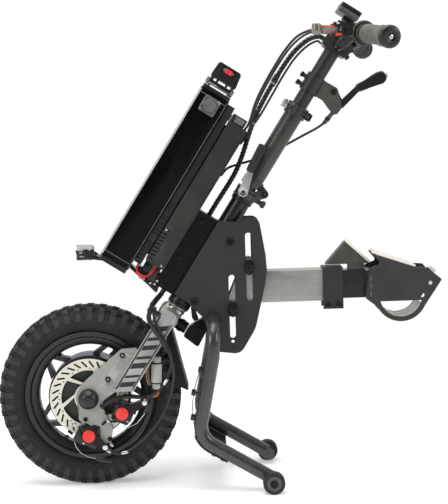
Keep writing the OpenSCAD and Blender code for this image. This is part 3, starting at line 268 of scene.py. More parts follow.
def plate(outline, y0, y1, holes=()):
    """A plate cut to an outline of (x, z) in the side view, with holes, thick from y0 to y1."""
    bm = bmesh.new()
    for ring in (outline, *holes):
        line = [bm.verts.new((x, y0, z)) for x, z in ring]
        for a, b in zip(line, line[1:] + line[:1]):
            bm.edges.new((a, b))
    bmesh.ops.triangle_fill(bm, use_beauty=True, edges=bm.edges[:])
    grown = bmesh.ops.extrude_face_region(bm, geom=bm.faces[:])["geom"]
    bmesh.ops.translate(bm, vec=(0, y1 - y0, 0),
                        verts=[v for v in grown if isinstance(v, bmesh.types.BMVert)])
    bmesh.ops.recalc_face_normals(bm, faces=bm.faces)
    return bm


def arc(radius, start, end, n, centre=(0, 0)):
    """Points (x, z) along an arc, angles in degrees."""
    angles = [radians(start + (end - start) * i / n) for i in range(n + 1)]
    return [(centre[0] + radius * cos(a), centre[1] + radius * sin(a)) for a in angles]


def oblong(length, width, at, tilt):
    """A rounded slot's outline: its length and width, middle and tilt in degrees."""
    ends = arc(width / 2, -90, 90, 4, (length / 2 - width / 2, 0))
    ends += arc(width / 2, 90, 270, 4, (width / 2 - length / 2, 0))
    c, s = cos(radians(tilt)), sin(radians(tilt))
    return [(at[0] + x * c - z * s, at[1] + x * s + z * c) for x, z in ends]


# Ground brake steel: warm white grey, with fine rings
# left by the grinding wheel, drawn 1.5 mm apart to show.
ground_steel, tree, shader, place = new_finish("ground brake steel")
centred = add_node(tree, "Mapping", {"Vector": place, "Location": AXLE.translation / -1000})
rings = add_node(tree, "TexWave", {"Vector": centred.outputs[0], "Scale": 1000 / 1.5 / 6.28,
                                   "Distortion": 1.2, "Detail": 3}, wave_type="RINGS", rings_direction="Y")
tone = add_node(tree, "Mix", {"Factor": rings.outputs["Fac"], 6: linear("#cdc8bb"), 7: linear("#efebdf")},
                data_type="RGBA")
relief = add_node(tree, "Bump", {"Height": rings.outputs["Fac"], "Strength": 0.25, "Distance": 0.0001})
set_inputs(tree, shader, {"Base Color": tone.outputs[2], "Normal": relief.outputs[0], "Metallic": 0.55,
                          "Roughness": 0.42})
# Blackened steel: nearly black, with a low metallic sheen along the edges.
black_steel = surface("blackened steel", "#101011", "#242425", 0.36, 1.0, 0.03, metal=0.6)

arms = 6
windows, slits = [], []
for i in range(arms):
    turn = 360 / arms * i
    windows.append(arc(56.5, turn + 20, turn + 72, 9) + arc(30, turn + 44, turn - 3, 6))
    for k in range(5):
        a = turn + 12 * k
        mid = (69 * cos(radians(a)), 69 * sin(radians(a)))
        slits.append(oblong(17, 3.8, mid, a + 40))
        if k % 2 == 0:
            mid = (60.6 * cos(radians(a + 2)), 60.6 * sin(radians(a + 2)))
            slits.append(oblong(3.2, 3.1, mid, 0))
disc = plate(arc(80, 0, 357.5, 143), -46, -44, [arc(14, 0, 350, 35)] + windows + slits)
head = turned([(0, 1.6), (1.8, 1.6), (2.0, 2.6), (3.2, 2.5), (4.3, 1.2), (4.4, 0), (0, 0)], 16)
for i in range(arms):
    a = radians(60 * i + 30)
    join(disc, head.copy(), move(22 * cos(a), -46, 22 * sin(a)) @ ACROSS, 1)
head.free()
piece("brake_disc_ground", disc, "wheel", [ground_steel, black_steel], AXLE, ["brake_disc"],
      crease=30)

# Axle: a turned steel bar that the wheel runs on, held in both dropouts
# by nuts. Domed caps of black plastic are pushed on over the nuts.

# Moulded black plastic: deep black, half gloss, with the faint orange peel of a polished mould.
black_plastic = surface("moulded plastic, black", "#0e0e10", "#1c1c1e", 0.3, 2.2, 0.03, cloud=60)
caps = bmesh.new()
dome = turned([(0, 0), (20.5, 0), (20.5, 8.5), (19.9, 11.8), (18.2, 14.6), (15.4, 17.8), (12.4, 20.8),
               (9.6, 22.5), (6, 22.95), (0, 23)], 40)
join(dome, turned([(20.2, 1.2), (20.5, 1.4), (20.5, 2.6), (20.2, 2.8)], 40))
join(caps, dome.copy(), move(0, -58, 0) @ ACROSS)
join(caps, dome, move(0, 58, 0) @ swing(180, "Z") @ ACROSS)
join(caps, rod(7, -78, 78, 24), ACROSS, 1)
piece("axle_caps", caps, "fork", [black_plastic, black_steel], AXLE, ["axle"])

# Fork crown: a welded aluminium tube across the top of the legs with the steerer pressed through
# it and a stub behind that the stand locks on. Bead blasted and clear coated, a warm satin grey.

# The head's middle, and the same frame laid back by the rake of the steering axis.
HEAD = move(-84.732, 0, 362.099)
RAKED = HEAD @ swing(33, "Y")


def weld(points, width):
    """A weld bead along points: overlapping rounded ripples, as a slow hand-fed torch leaves them."""
    bm = bmesh.new()
    path = [Vector(p) for p in points]
    for a, b in zip(path, path[1:]):
        count = max(1, round((b - a).length / (0.45 * width)))
        for i in range(count):
            dot = bmesh.ops.create_icosphere(bm, subdivisions=1, radius=width / 2)["verts"]
            bmesh.ops.translate(bm, vec=a.lerp(b, i / count), verts=dot)
    return bm


def hoop(radius, z, n):
    """Points of a level ring, closed."""
    return [(radius * cos(2 * pi * i / n), radius * sin(2 * pi * i / n), z) for i in range(n + 1)]


def repaint(made, at, where, tint):
    """Another finish on a piece's main faces whose middle, in a frame, passes a test."""
    for face in made.data.polygons:
        if face.material_index == 0 and where(at.inverted() @ (Vector(face.center) * 1000)):
            face.material_index = tint


# Blasted aluminium under clear coat: warm light grey with a soft sparkle and slow streaks along the tube.
crown_grey = surface("blasted aluminium, clear coated", "#84847c", "#a5a59c", 0.4, 1.4, 0.05, cloud=38,
                     metal=0.55)
# Polished steel: mirror bright, so it shows the white room.
polished = surface("polished steel", "#b4b5b6", "#dededf", 0.14, 1.6, 0.01, cloud=30, metal=1)
collar = turned([(18.6, -9), (20.2, -8.6), (20.6, -4), (20.2, -2), (18.6, -1.6)], 40)
cap = turned([(0, 0), (10.4, 0), (12.3, -1.6), (12.4, -4.5), (11.6, -6), (0, -6)], 32)
ring = turned([(11.9, 22.5), (13.4, 23), (13.6, 30), (13.2, 31.5), (11.9, 32)], 32)
stub = move(0, 0, -28) @ swing(90, "Y")
crown = cad_piece("fork_crown", "fork", [crown_grey, polished, black_steel], 1.2,
                  extra=[(weld(hoop(18.9, -4.5, 24), 4.5), move(0, 0, -1), 0), (collar, Matrix(), 1),
                         (cap, stub @ move(0, 0, 40), 2), (ring, stub, 2)], at=RAKED)
repaint(crown, RAKED, lambda spot: spot.x > 19 and abs(spot.y) < 14, 2)

# Fork legs: two flat bars of aluminium, sawn to a slant at the toe, brushed along their
# length and clear coated, with a printed border and slanted black bars on the outer face.


def brushed(name, dark, light, rough, lengthwise):
    """Brushed metal: fine bright scratches along one direction, 1.2 mm apart so that they show."""
    made, tree, shader, place = new_finish(name)
    turn = Vector((0, 0, 1)).rotation_difference(Vector(lengthwise)).inverted().to_euler()
    turned_to = add_node(tree, "Mapping", {"Vector": place, "Rotation": turn}, vector_type="POINT")
    pulled = add_node(tree, "Mapping", {"Vector": turned_to.outputs[0], "Scale": (1, 1, 0.02)})
    hair = add_node(tree, "TexNoise", {"Vector": pulled.outputs[0], "Scale": 1000 / 1.2, "Detail": 4})
    drift = add_node(tree, "TexNoise", {"Vector": place, "Scale": 1000 / 60, "Detail": 2})
    mixed = add_node(tree, "Math", {0: hair.outputs["Fac"], 1: drift.outputs["Fac"]}, operation="ADD")
    shade = add_node(tree, "MapRange", {"Value": mixed.outputs[0], "From Min": 0.7, "From Max": 1.3})
    colour = add_node(tree, "Mix", {"Factor": shade.outputs[0], 6: linear(dark), 7: linear(light)},
                      data_type="RGBA")
    gloss = add_node(tree, "MapRange", {"Value": hair.outputs["Fac"], "From Min": 0.3, "From Max": 0.7,
                                        "To Min": rough - 0.05, "To Max": rough + 0.1})
    relief = add_node(tree, "Bump", {"Height": hair.outputs["Fac"], "Strength": 0.3, "Distance": 0.00006})
    set_inputs(tree, shader, {"Base Color": colour.outputs[2], "Roughness": gloss.outputs[0],
                              "Normal": relief.outputs[0], "Metallic": 0.7})
    return made


up_leg = RAKED.to_3x3() @ Vector((0, 0, 1))
# Brushed aluminium under clear coat: pale grey, streaked up the leg.
leg_metal = brushed("brushed aluminium, clear coated", "#8d8e8d", "#b9bab9", 0.36, up_leg)
# Printed ink: flat black, a little duller than the metal round it.
stripe_ink = surface("black ink print", "#131314", "#202022", 0.42, 1.5, 0.02)
for side, leg in ((-1, "fork_leg_left"), (1, "fork_leg_right")):
    stripes = bmesh.new()
    y = (-74.25, -73.9) if side < 0 else (73.9, 74.25)
    join(stripes, plate([(-24, -199), (-20.8, -197), (-20.8, -24), (-24, -24)], *y))
    join(stripes, plate([(4.6, -181), (7.2, -179.4), (7.2, -28), (4.6, -28)], *y))
    for i, thick in enumerate((12, 6, 13, 7, 11, 8, 12)):
        low = -192 + 22 * i
        join(stripes, plate([(-20, low), (4, low + 17), (4, low + 17 + thick), (-20, low + thick)], *y))
    cad_piece(leg, "fork", [leg_metal, stripe_ink], 1.4, extra=[(stripes, RAKED, 1)])

# Dropout plates: 8 mm aluminium cut by laser, tumbled and clear coated,
# screwed inside the legs. The left one carries the two calipers as well.


def screw(d, h, key):
    """A socket screw's head, up z: diameter, height and the width of its hexagon."""
    bm = turned([(0, 0.55 * h), (key / 2, 0.5 * h), (key / 2, h), (0.42 * d, h), (0.485 * d, 0.86 * h),
                 (d / 2, 0.6 * h), (d / 2, 0), (0, 0)], 24)
    for v in bm.verts:
        r = v.co.xy.length
        if 0.01 < r < key / 2 + 0.01:
            flat = cos(pi / 6) / cos(atan2(v.co.y, v.co.x) % (pi / 3) - pi / 6)
            v.co.x, v.co.y = v.co.x * flat, v.co.y * flat
    return bm


def screws(places, d, h, key):
    """Screw heads that face the rider's left, at (x, y, z) in a frame, as details for a CAD piece."""
    made = bmesh.new()
    for at in places:
        join(made, screw(d, h, key), move(*at) @ ACROSS)
    return made


# Tumbled aluminium: flat pale grey, hardly any gloss, fine even grain.
dropout_grey = surface("tumbled aluminium, clear coated", "#8f918a", "#a6a8a1", 0.46, 1.1, 0.04, cloud=55,
                       metal=0.2)
mirrored = Matrix.Scale(-1, 4, (0, 1, 0))
both_sides = (Matrix(), mirrored)
for name, flip in zip(("dropout_left", "dropout_right"), both_sides):
    heads = [(screws([(-46, -58, -191.5), (-46, -58, -134.5)], 11.5, 4, 5.6), RAKED @ flip, 1)]
    if name == "dropout_left":
        heads.append((screws([(-8, -58, -42), (40, -58, -84), (36, -58, -30)], 9, 3.4, 4.4), AXLE, 1))
    cad_piece(name, "fork", [dropout_grey, black_steel], 0.9, extra=heads)

# Disc calipers: two cast bodies astride the disc, black enamel, bolted to the carrier. Each has a
# round piston housing, a red plastic pad adjuster that clicks round, and an arm that its cable pulls.


def aimed(way):
    """A turn that lays a frame's z along a direction."""
    return Vector(way).to_track_quat("Z", "Y").to_matrix().to_4x4()


def hose(path, d, sides=3):
    """A round tube along a path, closed at both ends."""
    curve = bpy.data.curves.new("route", "CURVE")
    curve.dimensions = "3D"
    curve.bevel_depth = d / 2
    curve.bevel_resolution = sides
    curve.use_fill_caps = True
    line = curve.splines.new("POLY")
    line.points.add(len(path) - 1)
    for point, place in zip(line.points, path):
        point.co = (*place, 1)
    holder = bpy.data.objects.new("route", curve)
    mesh = bpy.data.meshes.new_from_object(holder)
    bm = bmesh.new()
    bm.from_mesh(mesh)
    bmesh.ops.remove_doubles(bm, verts=bm.verts, dist=0.001)
    bmesh.ops.recalc_face_normals(bm, faces=bm.faces)
    bpy.data.objects.remove(holder)
    bpy.data.curves.remove(curve)
    bpy.data.meshes.remove(mesh)
    return bm


# Black enamel on a casting: tougher and shinier than the plates' coat, with a coarse cast grain.
enamel = surface("black enamel on a casting", "#0d0e0f", "#232527", 0.32, 2.4, 0.12, cloud=22)
# Signal red plastic: bright and even, with a soft gloss.
knob_red = surface("moulded plastic, signal red", "#d8271f", "#f2473c", 0.36, 1.5, 0.03, cloud=14)
piston_r = 74
details = []
knobs = bmesh.new()
for angle in (24, 91):
    at = AXLE @ swing(angle, "Y")
    seat = turned([(12.4, 0), (17.2, 0), (17.2, 2.6), (16.4, 3.6), (14.8, 3.8), (14.2, 3), (12.4, 3)], 40)
    nipple = turned([(0, 0), (2.2, 0), (2.2, 5), (1.4, 5.6), (0, 5.6)], 12)
    details += [(seat, at @ move(piston_r, -62, 0) @ ACROSS, 0),
                (screws([(60.5, -62, 15.5), (60.5, -62, -15.5), (89, -62, 15.5)], 8, 4, 4), at, 1)]
    details += [(brick((16, 9, 7), 1.5, 2), at @ move(62, -58, z), 0) for z in (-10, 10)]
    details += [(brick((9, 24, 30), 2, 2), at @ move(92, -47, 0), 0),
                (nipple, at @ move(90, -60.5, -12) @ ACROSS, 2)]
    face = turned([(0, 5.6), (3.4, 5.6), (3.6, 6.6), (10.4, 6.9), (12.3, 6.1), (12.5, 0), (0, 0)], 40)
    spot = at @ move(piston_r, -70.6, 0) @ ACROSS
    join(knobs, face, spot)
    for i in range(20):
        join(knobs, brick((1.5, 1.9, 5.4), 0.4), spot @ swing(360 * i / 20, "Z") @ move(12.2, 0, 2.9))
    join(knobs, rod(4, -9, 1, 16), spot)
for wire in ([(128, -72, -7), (112, -72, -33), (97, -73, -50), (79, -73, -59), (68, -71, -56)],
             [(-31, -71, -85), (-27, -72, -97), (-18, -73, -108), (-4, -73, -116), (11, -73, -120)]):
    details.append((hose([Vector(at) for at in wire], 1.8, 2), AXLE, 2))
barrel = [(0, 0), (3.4, 0), (4, 1), (4, 9), (5, 10), (5, 15), (4, 16), (4, 26), (2.8, 28), (2.6, 33),
          (0, 33)]
for at, to in (((111, -72, -30), (132, -72, -5)), ((11, -73, -120), (42, -73, -127))):
    details.append((turned(barrel, 20), AXLE @ move(*at) @ aimed(Vector(to) - Vector(at)), 0))
for x, z, wide, tilt, tint in ((116, -5, 9, 20, 2), (38, -45, 8, 50, 2), (-31, -50, 9, -60, 2),
                               (43, -96, 9, 35, 2), (37, -109, 10, 30, 2), (20, -105, 12, 20, 1),
                               (-39, -66, 12, 40, 1), (-46, -74, 9, 10, 1), (30, -49, 12, -40, 1),
                               (92, -29, 9, 60, 1), (-12, -60, 16, 30, 0), (24, -92, 18, 35, 0)):
    at = move(x, -62.2 if z < -88 else -66, z) @ swing(tilt, "Y")
    details.append((brick((wide, 7, 5), 1.4, 2), AXLE @ at, tint))
details.append((brick((52, 10, 26), 4, 3), AXLE @ move(-6, -61, -82) @ swing(28, "Y"), 0))
cad_piece("brake_calipers", "fork", [enamel, black_steel, polished], 1.6, extra=details)
piece("caliper_knobs_ribbed", knobs, "fork", [knob_red], stands_for=["caliper_knobs"])

# Caliper arms: stamped 4 mm steel, blackened. Each turns on its caliper's
# spindle, and has a pinch bolt with a washer that holds the cable's wire.
for arm, body, angle, x, z in (("caliper_arm_main", "main_arm", 24, 46, 20),
                               ("caliper_arm_park", "park_arm", 91, 32, -25)):
    bolt = turned([(0, 0), (4.6, 0), (4.6, 3), (0, 3.2)], 6)
    washer = turned([(2, -0.2), (5.4, -0.2), (5.4, 0.9), (2, 0.9)], 24)
    at = AXLE @ move(piston_r * cos(radians(angle)) + x, -70.3, -piston_r * sin(radians(angle)) + z) @ ACROSS
    cad_piece(arm, body, [black_steel, polished], 0.7, 2,
              [(washer, at, 1), (bolt, at @ move(0, 0, 0.8), 1)])

# Mud flap: 3 mm black rubber sheet, punched to its outline, with
# its sides turned over. It is held under the fork crown by screws.

# Rubber sheet: dull black with hardly any highlight.
flap_rubber = surface("rubber sheet, black", "#0b0b0c", "#161616", 0.55, 1.4, 0.05, cloud=40, spec=0.25)
cad_piece("mud_flap", "fork", [flap_rubber], 0.7)

# Head: two 6 mm steel side plates cut by laser, bolted on a block that is welded round the
# head tube. All of it is powder coated matte black, and the bolts have black socket heads.

# Powder coat, matte: charcoal black, almost no gloss, with a fine even grain and slightly paler wear.
powder = surface("powder coat, matte black", "#1a1a1b", "#262626", 0.55, 1.1, 0.07, cloud=80)
# Powder coat, satin: black, smooth enough for clear long highlights.
satin_black = surface("powder coat, satin black", "#0f0f10", "#1a1a1b", 0.28, 1.2, 0.04, cloud=60, spec=0.4)
# Powder coat, black: the darkest coat, as painted shade where the battery bracket lies behind the
# battery. The stand's claw takes it as its own black.
black_and_painted_shade = surface("powder coat, black, painted shade", "#060607", "#0c0c0d", 0.42, 1.2, 0.05, cloud=60, spec=0.2)
for name in ("side_plate_left", "side_plate_right"):
    cad_piece(name, "frame", [powder], 0.9, 3)
cup = turned([(20.2, 20), (22.6, 20.4), (22.8, 26), (21.6, 29), (20.2, 29.4)], 40)
groove = turned([(23.9, 7), (24.15, 7.2), (24.15, 13.6), (23.9, 13.8)], 48)
top_ring = turned([(22.4, 253.5), (22.9, 254), (22.9, 258), (22.4, 258.6)], 48)
cad_piece("head_tube", "frame", [satin_black, black_steel], 0.9,
          extra=[(cup, Matrix(), 0), (groove, Matrix(), 1), (top_ring, Matrix(), 1)], at=RAKED)
through_bolts = ((23, 32), (22, 173.6))
bolts = bmesh.new()
for flip in both_sides:
    for p, h in through_bolts:
        join(bolts, turned([(6, 0), (8, 0), (8, 1), (6, 1)], 32), flip @ move(p, -34.5, h) @ ACROSS)
        join(bolts, screw(12, 5, 6), flip @ move(p, -34.5, h) @ ACROSS)
    for p, h in ((-49, 28), (-50, 92), (-47, 180)):
        join(bolts, screw(9, 3, 4.4), flip @ move(p, -23, h) @ ACROSS)
for p, h in through_bolts:
    join(bolts, rod(5, -34, 34, 24), move(p, 0, h) @ ACROSS)
piece("plate_bolts_socket", bolts, "frame", [black_steel], RAKED, ["plate_bolts"])
# Painted shade: the bracket's coat is darkened for the shade behind the battery.
cad_piece("battery_bracket", "frame", [black_and_painted_shade], 1.2)
cad_piece("stand_hook", "frame", [black_steel], 0.8)

# Controller: an aluminium extrusion with cooling slots, painted a dark olive grey, screwed to the
# bracket. The rail on its front takes the battery, and a socket block and two red leads show at its ends.

# Dark olive paint on an extrusion: satin, with faint lengthwise draw lines.
olive = surface("olive grey paint on an extrusion", "#232321", "#31312d", 0.36, 1.6, 0.05, cloud=70,
                spec=0.4)
# Black anodised aluminium: dark grey with a metallic sheen.
rail_black = surface("anodised aluminium, black", "#1d1e1e", "#2e2f2f", 0.36, 1.2, 0.03, metal=0.4)
# Light grey plastic: even, with a dull gloss.
pale_plastic = surface("moulded plastic, light grey", "#8b8d8d", "#a9abab", 0.45, 1.4, 0.04)
# Slate grey plastic: dull, and darker than the light grey.
socket_grey = surface("moulded plastic, slate grey", "#5a5b5c", "#6c6d6e", 0.5, 1.4, 0.04)
# Silicone wire: clear red with a waxy gloss.
red_lead = surface("silicone wire, red", "#b3141a", "#d8262b", 0.4, 1.5, 0.02)
box = []
for flip in both_sides:
    cover = plate([(-102, 142), (-68, 142), (-68, 370), (-74, 376), (-96, 376), (-102, 370)], -45.2, -44)
    box += [(cover, flip, 0), (brick((2.2, 2, 316), 0.6), flip @ move(-65.6, -43.6, 217), 0)]
    for i in range(13):
        height = 42 + 8 * i + (12 if i > 6 else 0)
        box.append((brick((14.5, 4.2, 1.8), 0.5), flip @ move(-116.6, -37.2, height), 1))
    box.append((brick((15.2, 1.6, 244), 0.5), flip @ move(-116.6, -36.4, 282), 1))
    box += [(screw(5, 2, 2.6), flip @ move(p, -44, h) @ ACROSS, 3) for p, h in ((-101, 128), (-72, 60))]
tray = move(-88, 0, 16) @ Matrix.Rotation(atan2(17, 76), 4, "Y")
box += [(brick((20, 1.6, 13), 0.6), move(-88, -34.2, 390), 2),
        (brick((40, 86, 3.4), 1.2, 2), move(-85, 0, 379.4), 0),
        (brick((2.6, 18, 15), 0.6), move(-107.4, -24, 387), 3), (brick((74, 46, 6), 1.2, 2), tray, 4),
        (brick((12, 34, 12), 1.2, 2), move(-59, 0, 14), 4)]
for p, h, wide, tall in ((-94, 38, 18, 34), (-76, 36, 16, 38), (-104, 27, 14, 14), (-66, 30, 12, 26)):
    box.append((brick((wide, 40, tall), 2, 2), move(p, 0, h), 4))
for p, h in ((-97, 15), (-89, 17.4), (-73, 16), (-64, 18.6), (-63, 27)):
    box.append((screw(5.4, 2.4, 2.4), move(p, -22.6, h) @ ACROSS, 3))
cad_piece("controller_housing", "frame", [olive, rail_black, socket_grey, polished, black_plastic], 1.3,
          2, box, RAKED)

# Battery: cells in an extruded case with rounded long edges, gloss black, with screwed end caps.
# The left side has a charge socket in a square flange, with two screws and a hinged round cap.

# Gloss black lacquer: a deep mirror black that shows the room along its rounded edges.
gloss_black = surface("gloss black lacquer", "#060607", "#0b0b0d", 0.12, 3, 0.004, cloud=120, spec=0.12)
# Charcoal plastic: dull dark grey beside the mirror of the case.
dark_plastic = surface("moulded plastic, charcoal", "#515254", "#646567", 0.5, 1.3, 0.05)
battery_p, charge_p, charge_h = -157.5, -155.5, 386
# The joints to the end caps are charcoal bands: real seams, drawn paler as a painted highlight along the
# caps' edges.
case = [(brick((56, 1.2, 1.5), 0.3), move(battery_p, -45.1, h), 1) for h in (30, 402)]
case += [(screw(5.6, 1.8, 2.6), move(charge_p + k, -48, charge_h + k) @ ACROSS, 2) for k in (-13.6, 13.6)]
# Painted reflections: a light grey strip on the case's front rounded edge and a charcoal strip on its back
# edge stand for the room's light in the gloss.
case += [(brick((5.4, 1.2, 388), 0.4), move(-188.2, -43.2, 215) @ swing(-45, "Z"), 3),
         (brick((1.6, 1.4, 388), 0.4), move(-127.6, -44.4, 215), 1)]
made = cad_piece("battery_case", "frame", [gloss_black, dark_plastic, polished, pale_plastic], 2.2,
                 4, case, RAKED)
repaint(made, RAKED, lambda spot: spot.y < -45.05 and abs(spot.z - charge_h) < 19, 1)
cad_piece("charge_cap", "socket_cap", [dark_plastic], 0.5)
ends = [(brick((58, 86.5, 0.9), 0.2), move(battery_p, 0, h), 1) for h in (11.6, 416)]
ends += [(screw(6, 2, 3), move(p, y, 419.6), 2) for p in (-182, -133) for y in (-36, 36)]
cad_piece("battery_caps", "frame", [black_plastic, satin_black, polished], 1.0, 2, ends,
          RAKED)

# Headlamp: a turned aluminium can, anodised black, that tilts between two ears, light grey along
# its top as a painted highlight, with a clear front glass over a bright reflector bowl and one lamp chip.

# Clear glass: colourless, with flutes 3 mm apart that break up the bowl behind it.
lamp_glass, tree, shader, place = new_finish("clear lamp glass")
flutes = add_node(tree, "TexWave", {"Vector": place, "Scale": 1000 / 3 / 6.28}, bands_direction="Y")
relief = add_node(tree, "Bump", {"Height": flutes.outputs["Fac"], "Strength": 0.3, "Distance": 0.0003})
set_inputs(tree, shader, {"Base Color": linear("#eef2f2"), "Roughness": 0.04, "Transmission Weight": 0.92,
                          "IOR": 1.49, "Normal": relief.outputs[0]})
lamp = turned([(0, 36), (11, 36), (14.6, 34.4), (16, 31), (16, 24), (15.2, 23.4), (15.2, 21.6), (16, 21),
               (16, 17.4), (15.2, 16.8), (15.2, 15), (16, 14.4), (16, 1.2), (15.4, 0), (14, 0), (13.8, 1.4),
               (10, 9), (4, 12), (0, 12)], 40)
join(lamp, turned([(13.7, 1.6), (9.8, 9.2), (4, 11.8), (0, 11.9)], 32), tint=1)
join(lamp, turned([(14.1, 0.2), (16, 0.2), (16.0, 2.4), (15.9, 2.6)], 40), tint=1)
join(lamp, rod(13.9, 1.2, 3, 32), tint=2)
join(lamp, rod(3, 8, 11.9, 16), tint=3)
put(lamp, move(-22, 0, 0) @ swing(90, "Y"))
# Painted highlight: the can's black faces on top are given the light grey plastic, as the lit top.
for face in lamp.faces:
    if face.calc_center_median().z > 6 and face.material_index == 0:
        face.material_index = 3
# Painted highlight: the upper light grey mark on the can's side stands for light in a slot.
join(lamp, brick((11, 1.4, 3.6), 0.6), move(-10, -15.6, 1), 3)
join(lamp, brick((12, 1.4, 2.6), 0.6), move(-9, -14.4, -7), 3)
for flip in both_sides:
    join(lamp, screw(8, 2.6, 4), flip @ move(0, -22.2, 0) @ ACROSS)
    join(lamp, rod(3, 0, 8, 16), flip @ move(0, -15, 0) @ ACROSS)
lamp_at = move(*(RAKED @ Vector((-215, 0, 1))))
piece("headlamp_can", lamp, "lamp", [rail_black, polished, lamp_glass, pale_plastic], lamp_at, ["headlamp"])

# Switch housing: a moulded box on four posts above the battery, with a thin bright steel shelf and
# four spring clips under it. A black rocker with a red middle sits in the side that faces left.
switch_p, rocker_h = -157, 463
shelves = bmesh.new()
join(shelves, brick((59, 68.6, 3.3), 0.5), move(switch_p, 0, 425.5))
for p in (-186, -130):
    for y in (-28, 28):
        join(shelves, brick((7, 9, 13), 1.2, 2), move(p, y, 429))
        join(shelves, screw(6.5, 2.5, 3.2), move(p, y - 4.4, 429) @ ACROSS)
piece("switch_shelves", shelves, "frame", [polished], RAKED)
bezel = plate([(-173.5, 453.5), (-141.5, 453.5), (-141.5, 472), (-173.5, 472)], -35.2, -33.8,
              [[(-171.2, 455.4), (-143.8, 455.4), (-143.8, 470.6), (-171.2, 470.6)]])
box = [(bezel, Matrix(), 0)]
box += [(brick((44, 0.9, 1), 0.25), flip @ move(switch_p, -34.1, 447), 0) for flip in both_sides]
box.append((brick((56, 66, 5), 0.8), move(switch_p, 0, 429.6), 0))
box += [(brick((4.6, 62, 8), 0.6), move(p, 0, 437), 0) for p in (-168, -147)]
cad_piece("switch_housing", "frame", [black_plastic], 1.6, 3, box, RAKED)
off_mark = turned([(1.2, 0), (2.2, 0), (2.2, 0.6), (1.2, 0.6)], 20)
rocker = [(brick((1, 0.8, 6), 0.2), move(-147.8, -36.9, rocker_h), 1),
          (off_mark, move(-167, -36.7, rocker_h) @ ACROSS, 1)]
for k in (-1, 1):
    at = move(-157.5 + 4 * k, -35.9, rocker_h) @ swing(-10.3 * k, "Z")
    rocker.append((brick((7.6, 1, 9), 0.3), at, 2))
cad_piece("rocker_switch", "rocker", [black_plastic, pale_plastic, knob_red], 0.7, 2, rocker, RAKED)

# Column: the stem base is clamped on the steerer, and the stem tube folds on it about a pin. A polished
# latch lever with a black handle locks it. Both are welded steel, powder coated a warm dark grey.

# Powder coat, warm grey: satin, so that a long soft highlight runs down the tube.
column_grey = surface("powder coat, warm dark grey", "#302e2c", "#403e3a", 0.34, 1.2, 0.05, cloud=65)
collar = turned([(22.6, 276), (23.6, 276.6), (23.6, 279.6), (22.6, 280.2)], 48)
base = [(weld(hoop(23, 0, 32), 3), move(0, 0, 264), 0), (collar, Matrix(), 1)]
base += [(screw(13, 3.4, 6.4), flip @ move(33, -14.8, 290.8) @ ACROSS, 1) for flip in both_sides]
base.append((screw(12, 2.4, 6), move(45, 0, 271.05) @ swing(90, "Y"), 2))
cad_piece("stem_base", "fork", [column_grey, black_steel, polished], 1.0, 2, base, RAKED)
collar = turned([(23.4, 459.6), (23.7, 460), (23.7, 479.6), (23.4, 480)], 48)
stem = [(weld(hoop(22, 0, 32), 2.6), move(0, 0, 305.5), 0), (collar, Matrix(), 0)]
nut = move(-34, -30, 469.8) @ swing(90, "Y")
for i in range(24):
    stem.append((brick((1.3, 1.5, 9.6), 0.4), nut @ swing(360 * i / 24, "Z") @ move(8.4, 0, 5.5), 1))
stem.append((turned([(0, 10), (8.3, 10), (8.3, 1), (7.2, -0.2), (0, -0.2)], 32), nut, 1))
cad_piece("stem_tube", "column", [column_grey, polished], 0.9, 2, stem, RAKED)
cad_piece("height_lever", "cam", [black_steel], 1.4, 3)
spot = move(-20.2, -30.4, 345) @ Matrix.Rotation(atan2(-3, 38), 4, "Y")
latch = [(brick((17, 12, 62), 4.5, 3), spot, 1)]
latch += [(brick((17.8, 12.8, 2.6), 1.1, 2), spot @ move(0, 0, -18 + 7 * i), 1) for i in range(6)]
eyelet = turned([(4.4, -0.4), (9, -0.4), (9.4, 0.4), (8.6, 1.2), (5, 1.2), (4.4, 0.8)], 32)
cad_piece("stem_latch", "latch", [polished, rubber_black], 1.2, 3,
          latch + [(eyelet, move(-8, -33.3, 273.3) @ ACROSS, 0)], RAKED)

# Bar tube and clamp: a steel tube that slides in the stem and carries the handlebar
# in a two-bolt clamp, powder coated the same warm grey, with black socket screws.
clamp = [(screw(8, 4, 4), move(31, y, h) @ swing(90, "Y"), 1) for y in (-15, 15) for h in (630, 614)]
clamp.append((weld(hoop(17, 0, 28), 2.8), move(0, 0, 607), 0))
clamp += [(brick((1.2, 1, 30), 0.2), flip @ move(4, -24, 623), 1) for flip in both_sides]
# Powder coat, warm black: a shade darker than the column, with the same satin.
bar_grey = surface("powder coat, warm black", "#1f1d1c", "#2d2b28", 0.36, 1.2, 0.05, cloud=65)
cad_piece("bar_tube", "bar", [bar_grey, black_steel], 1.4, 3, clamp, RAKED)

# Handlebar: one 22 mm steel tube, bent up and back to each side and powder coated black.
# The bar clamp holds it in the middle, and a plastic cable tie goes round its left bend.


def bent(points, radius, n=8):
    """A tube's path with each inner corner bent to a radius."""
    path = [Vector(p) for p in points]
    out = [path[0]]
    for a, b, c in zip(path, path[1:], path[2:]):
        u, v = (a - b).normalized(), (c - b).normalized()
        half = u.angle(v) / 2
        middle = b + (u + v).normalized() * radius / sin(half)
        start = b + u * radius / (sin(half) / cos(half)) - middle
        end = b + v * radius / (sin(half) / cos(half)) - middle
        out += [middle + radius * start.slerp(end, i / n) for i in range(n + 1)]
    return out + [path[-1]]


bar_h = 622.8
left = [(4, 0, bar_h), (4, -42, bar_h), (15, -72, bar_h + 33), (23, -100, bar_h + 37),
        (66, -212, bar_h + 46)]
half_bar = bent(left, 24)
bar = hose([Vector((p.x, -p.y, p.z)) for p in half_bar[:0:-1]] + half_bar, 22.2, 6)
tie = turned([(11, -2), (12, -1.6), (12, 1.6), (11, 2)], 32)
tie_at = Vector(left[1]).lerp(Vector(left[2]), 0.45)
join(bar, tie, move(*tie_at) @ aimed(Vector(left[2]) - Vector(left[1])), 1)
piece("handlebar_bent", bar, "bar", [satin_black, black_plastic], RAKED, ["handlebar"])

# Grips: moulded rubber sleeves with a flange at the inner end, fine ribs, and a gloss end
# cap held by a bright screw. The left one turns as the throttle, on a wider black collar.

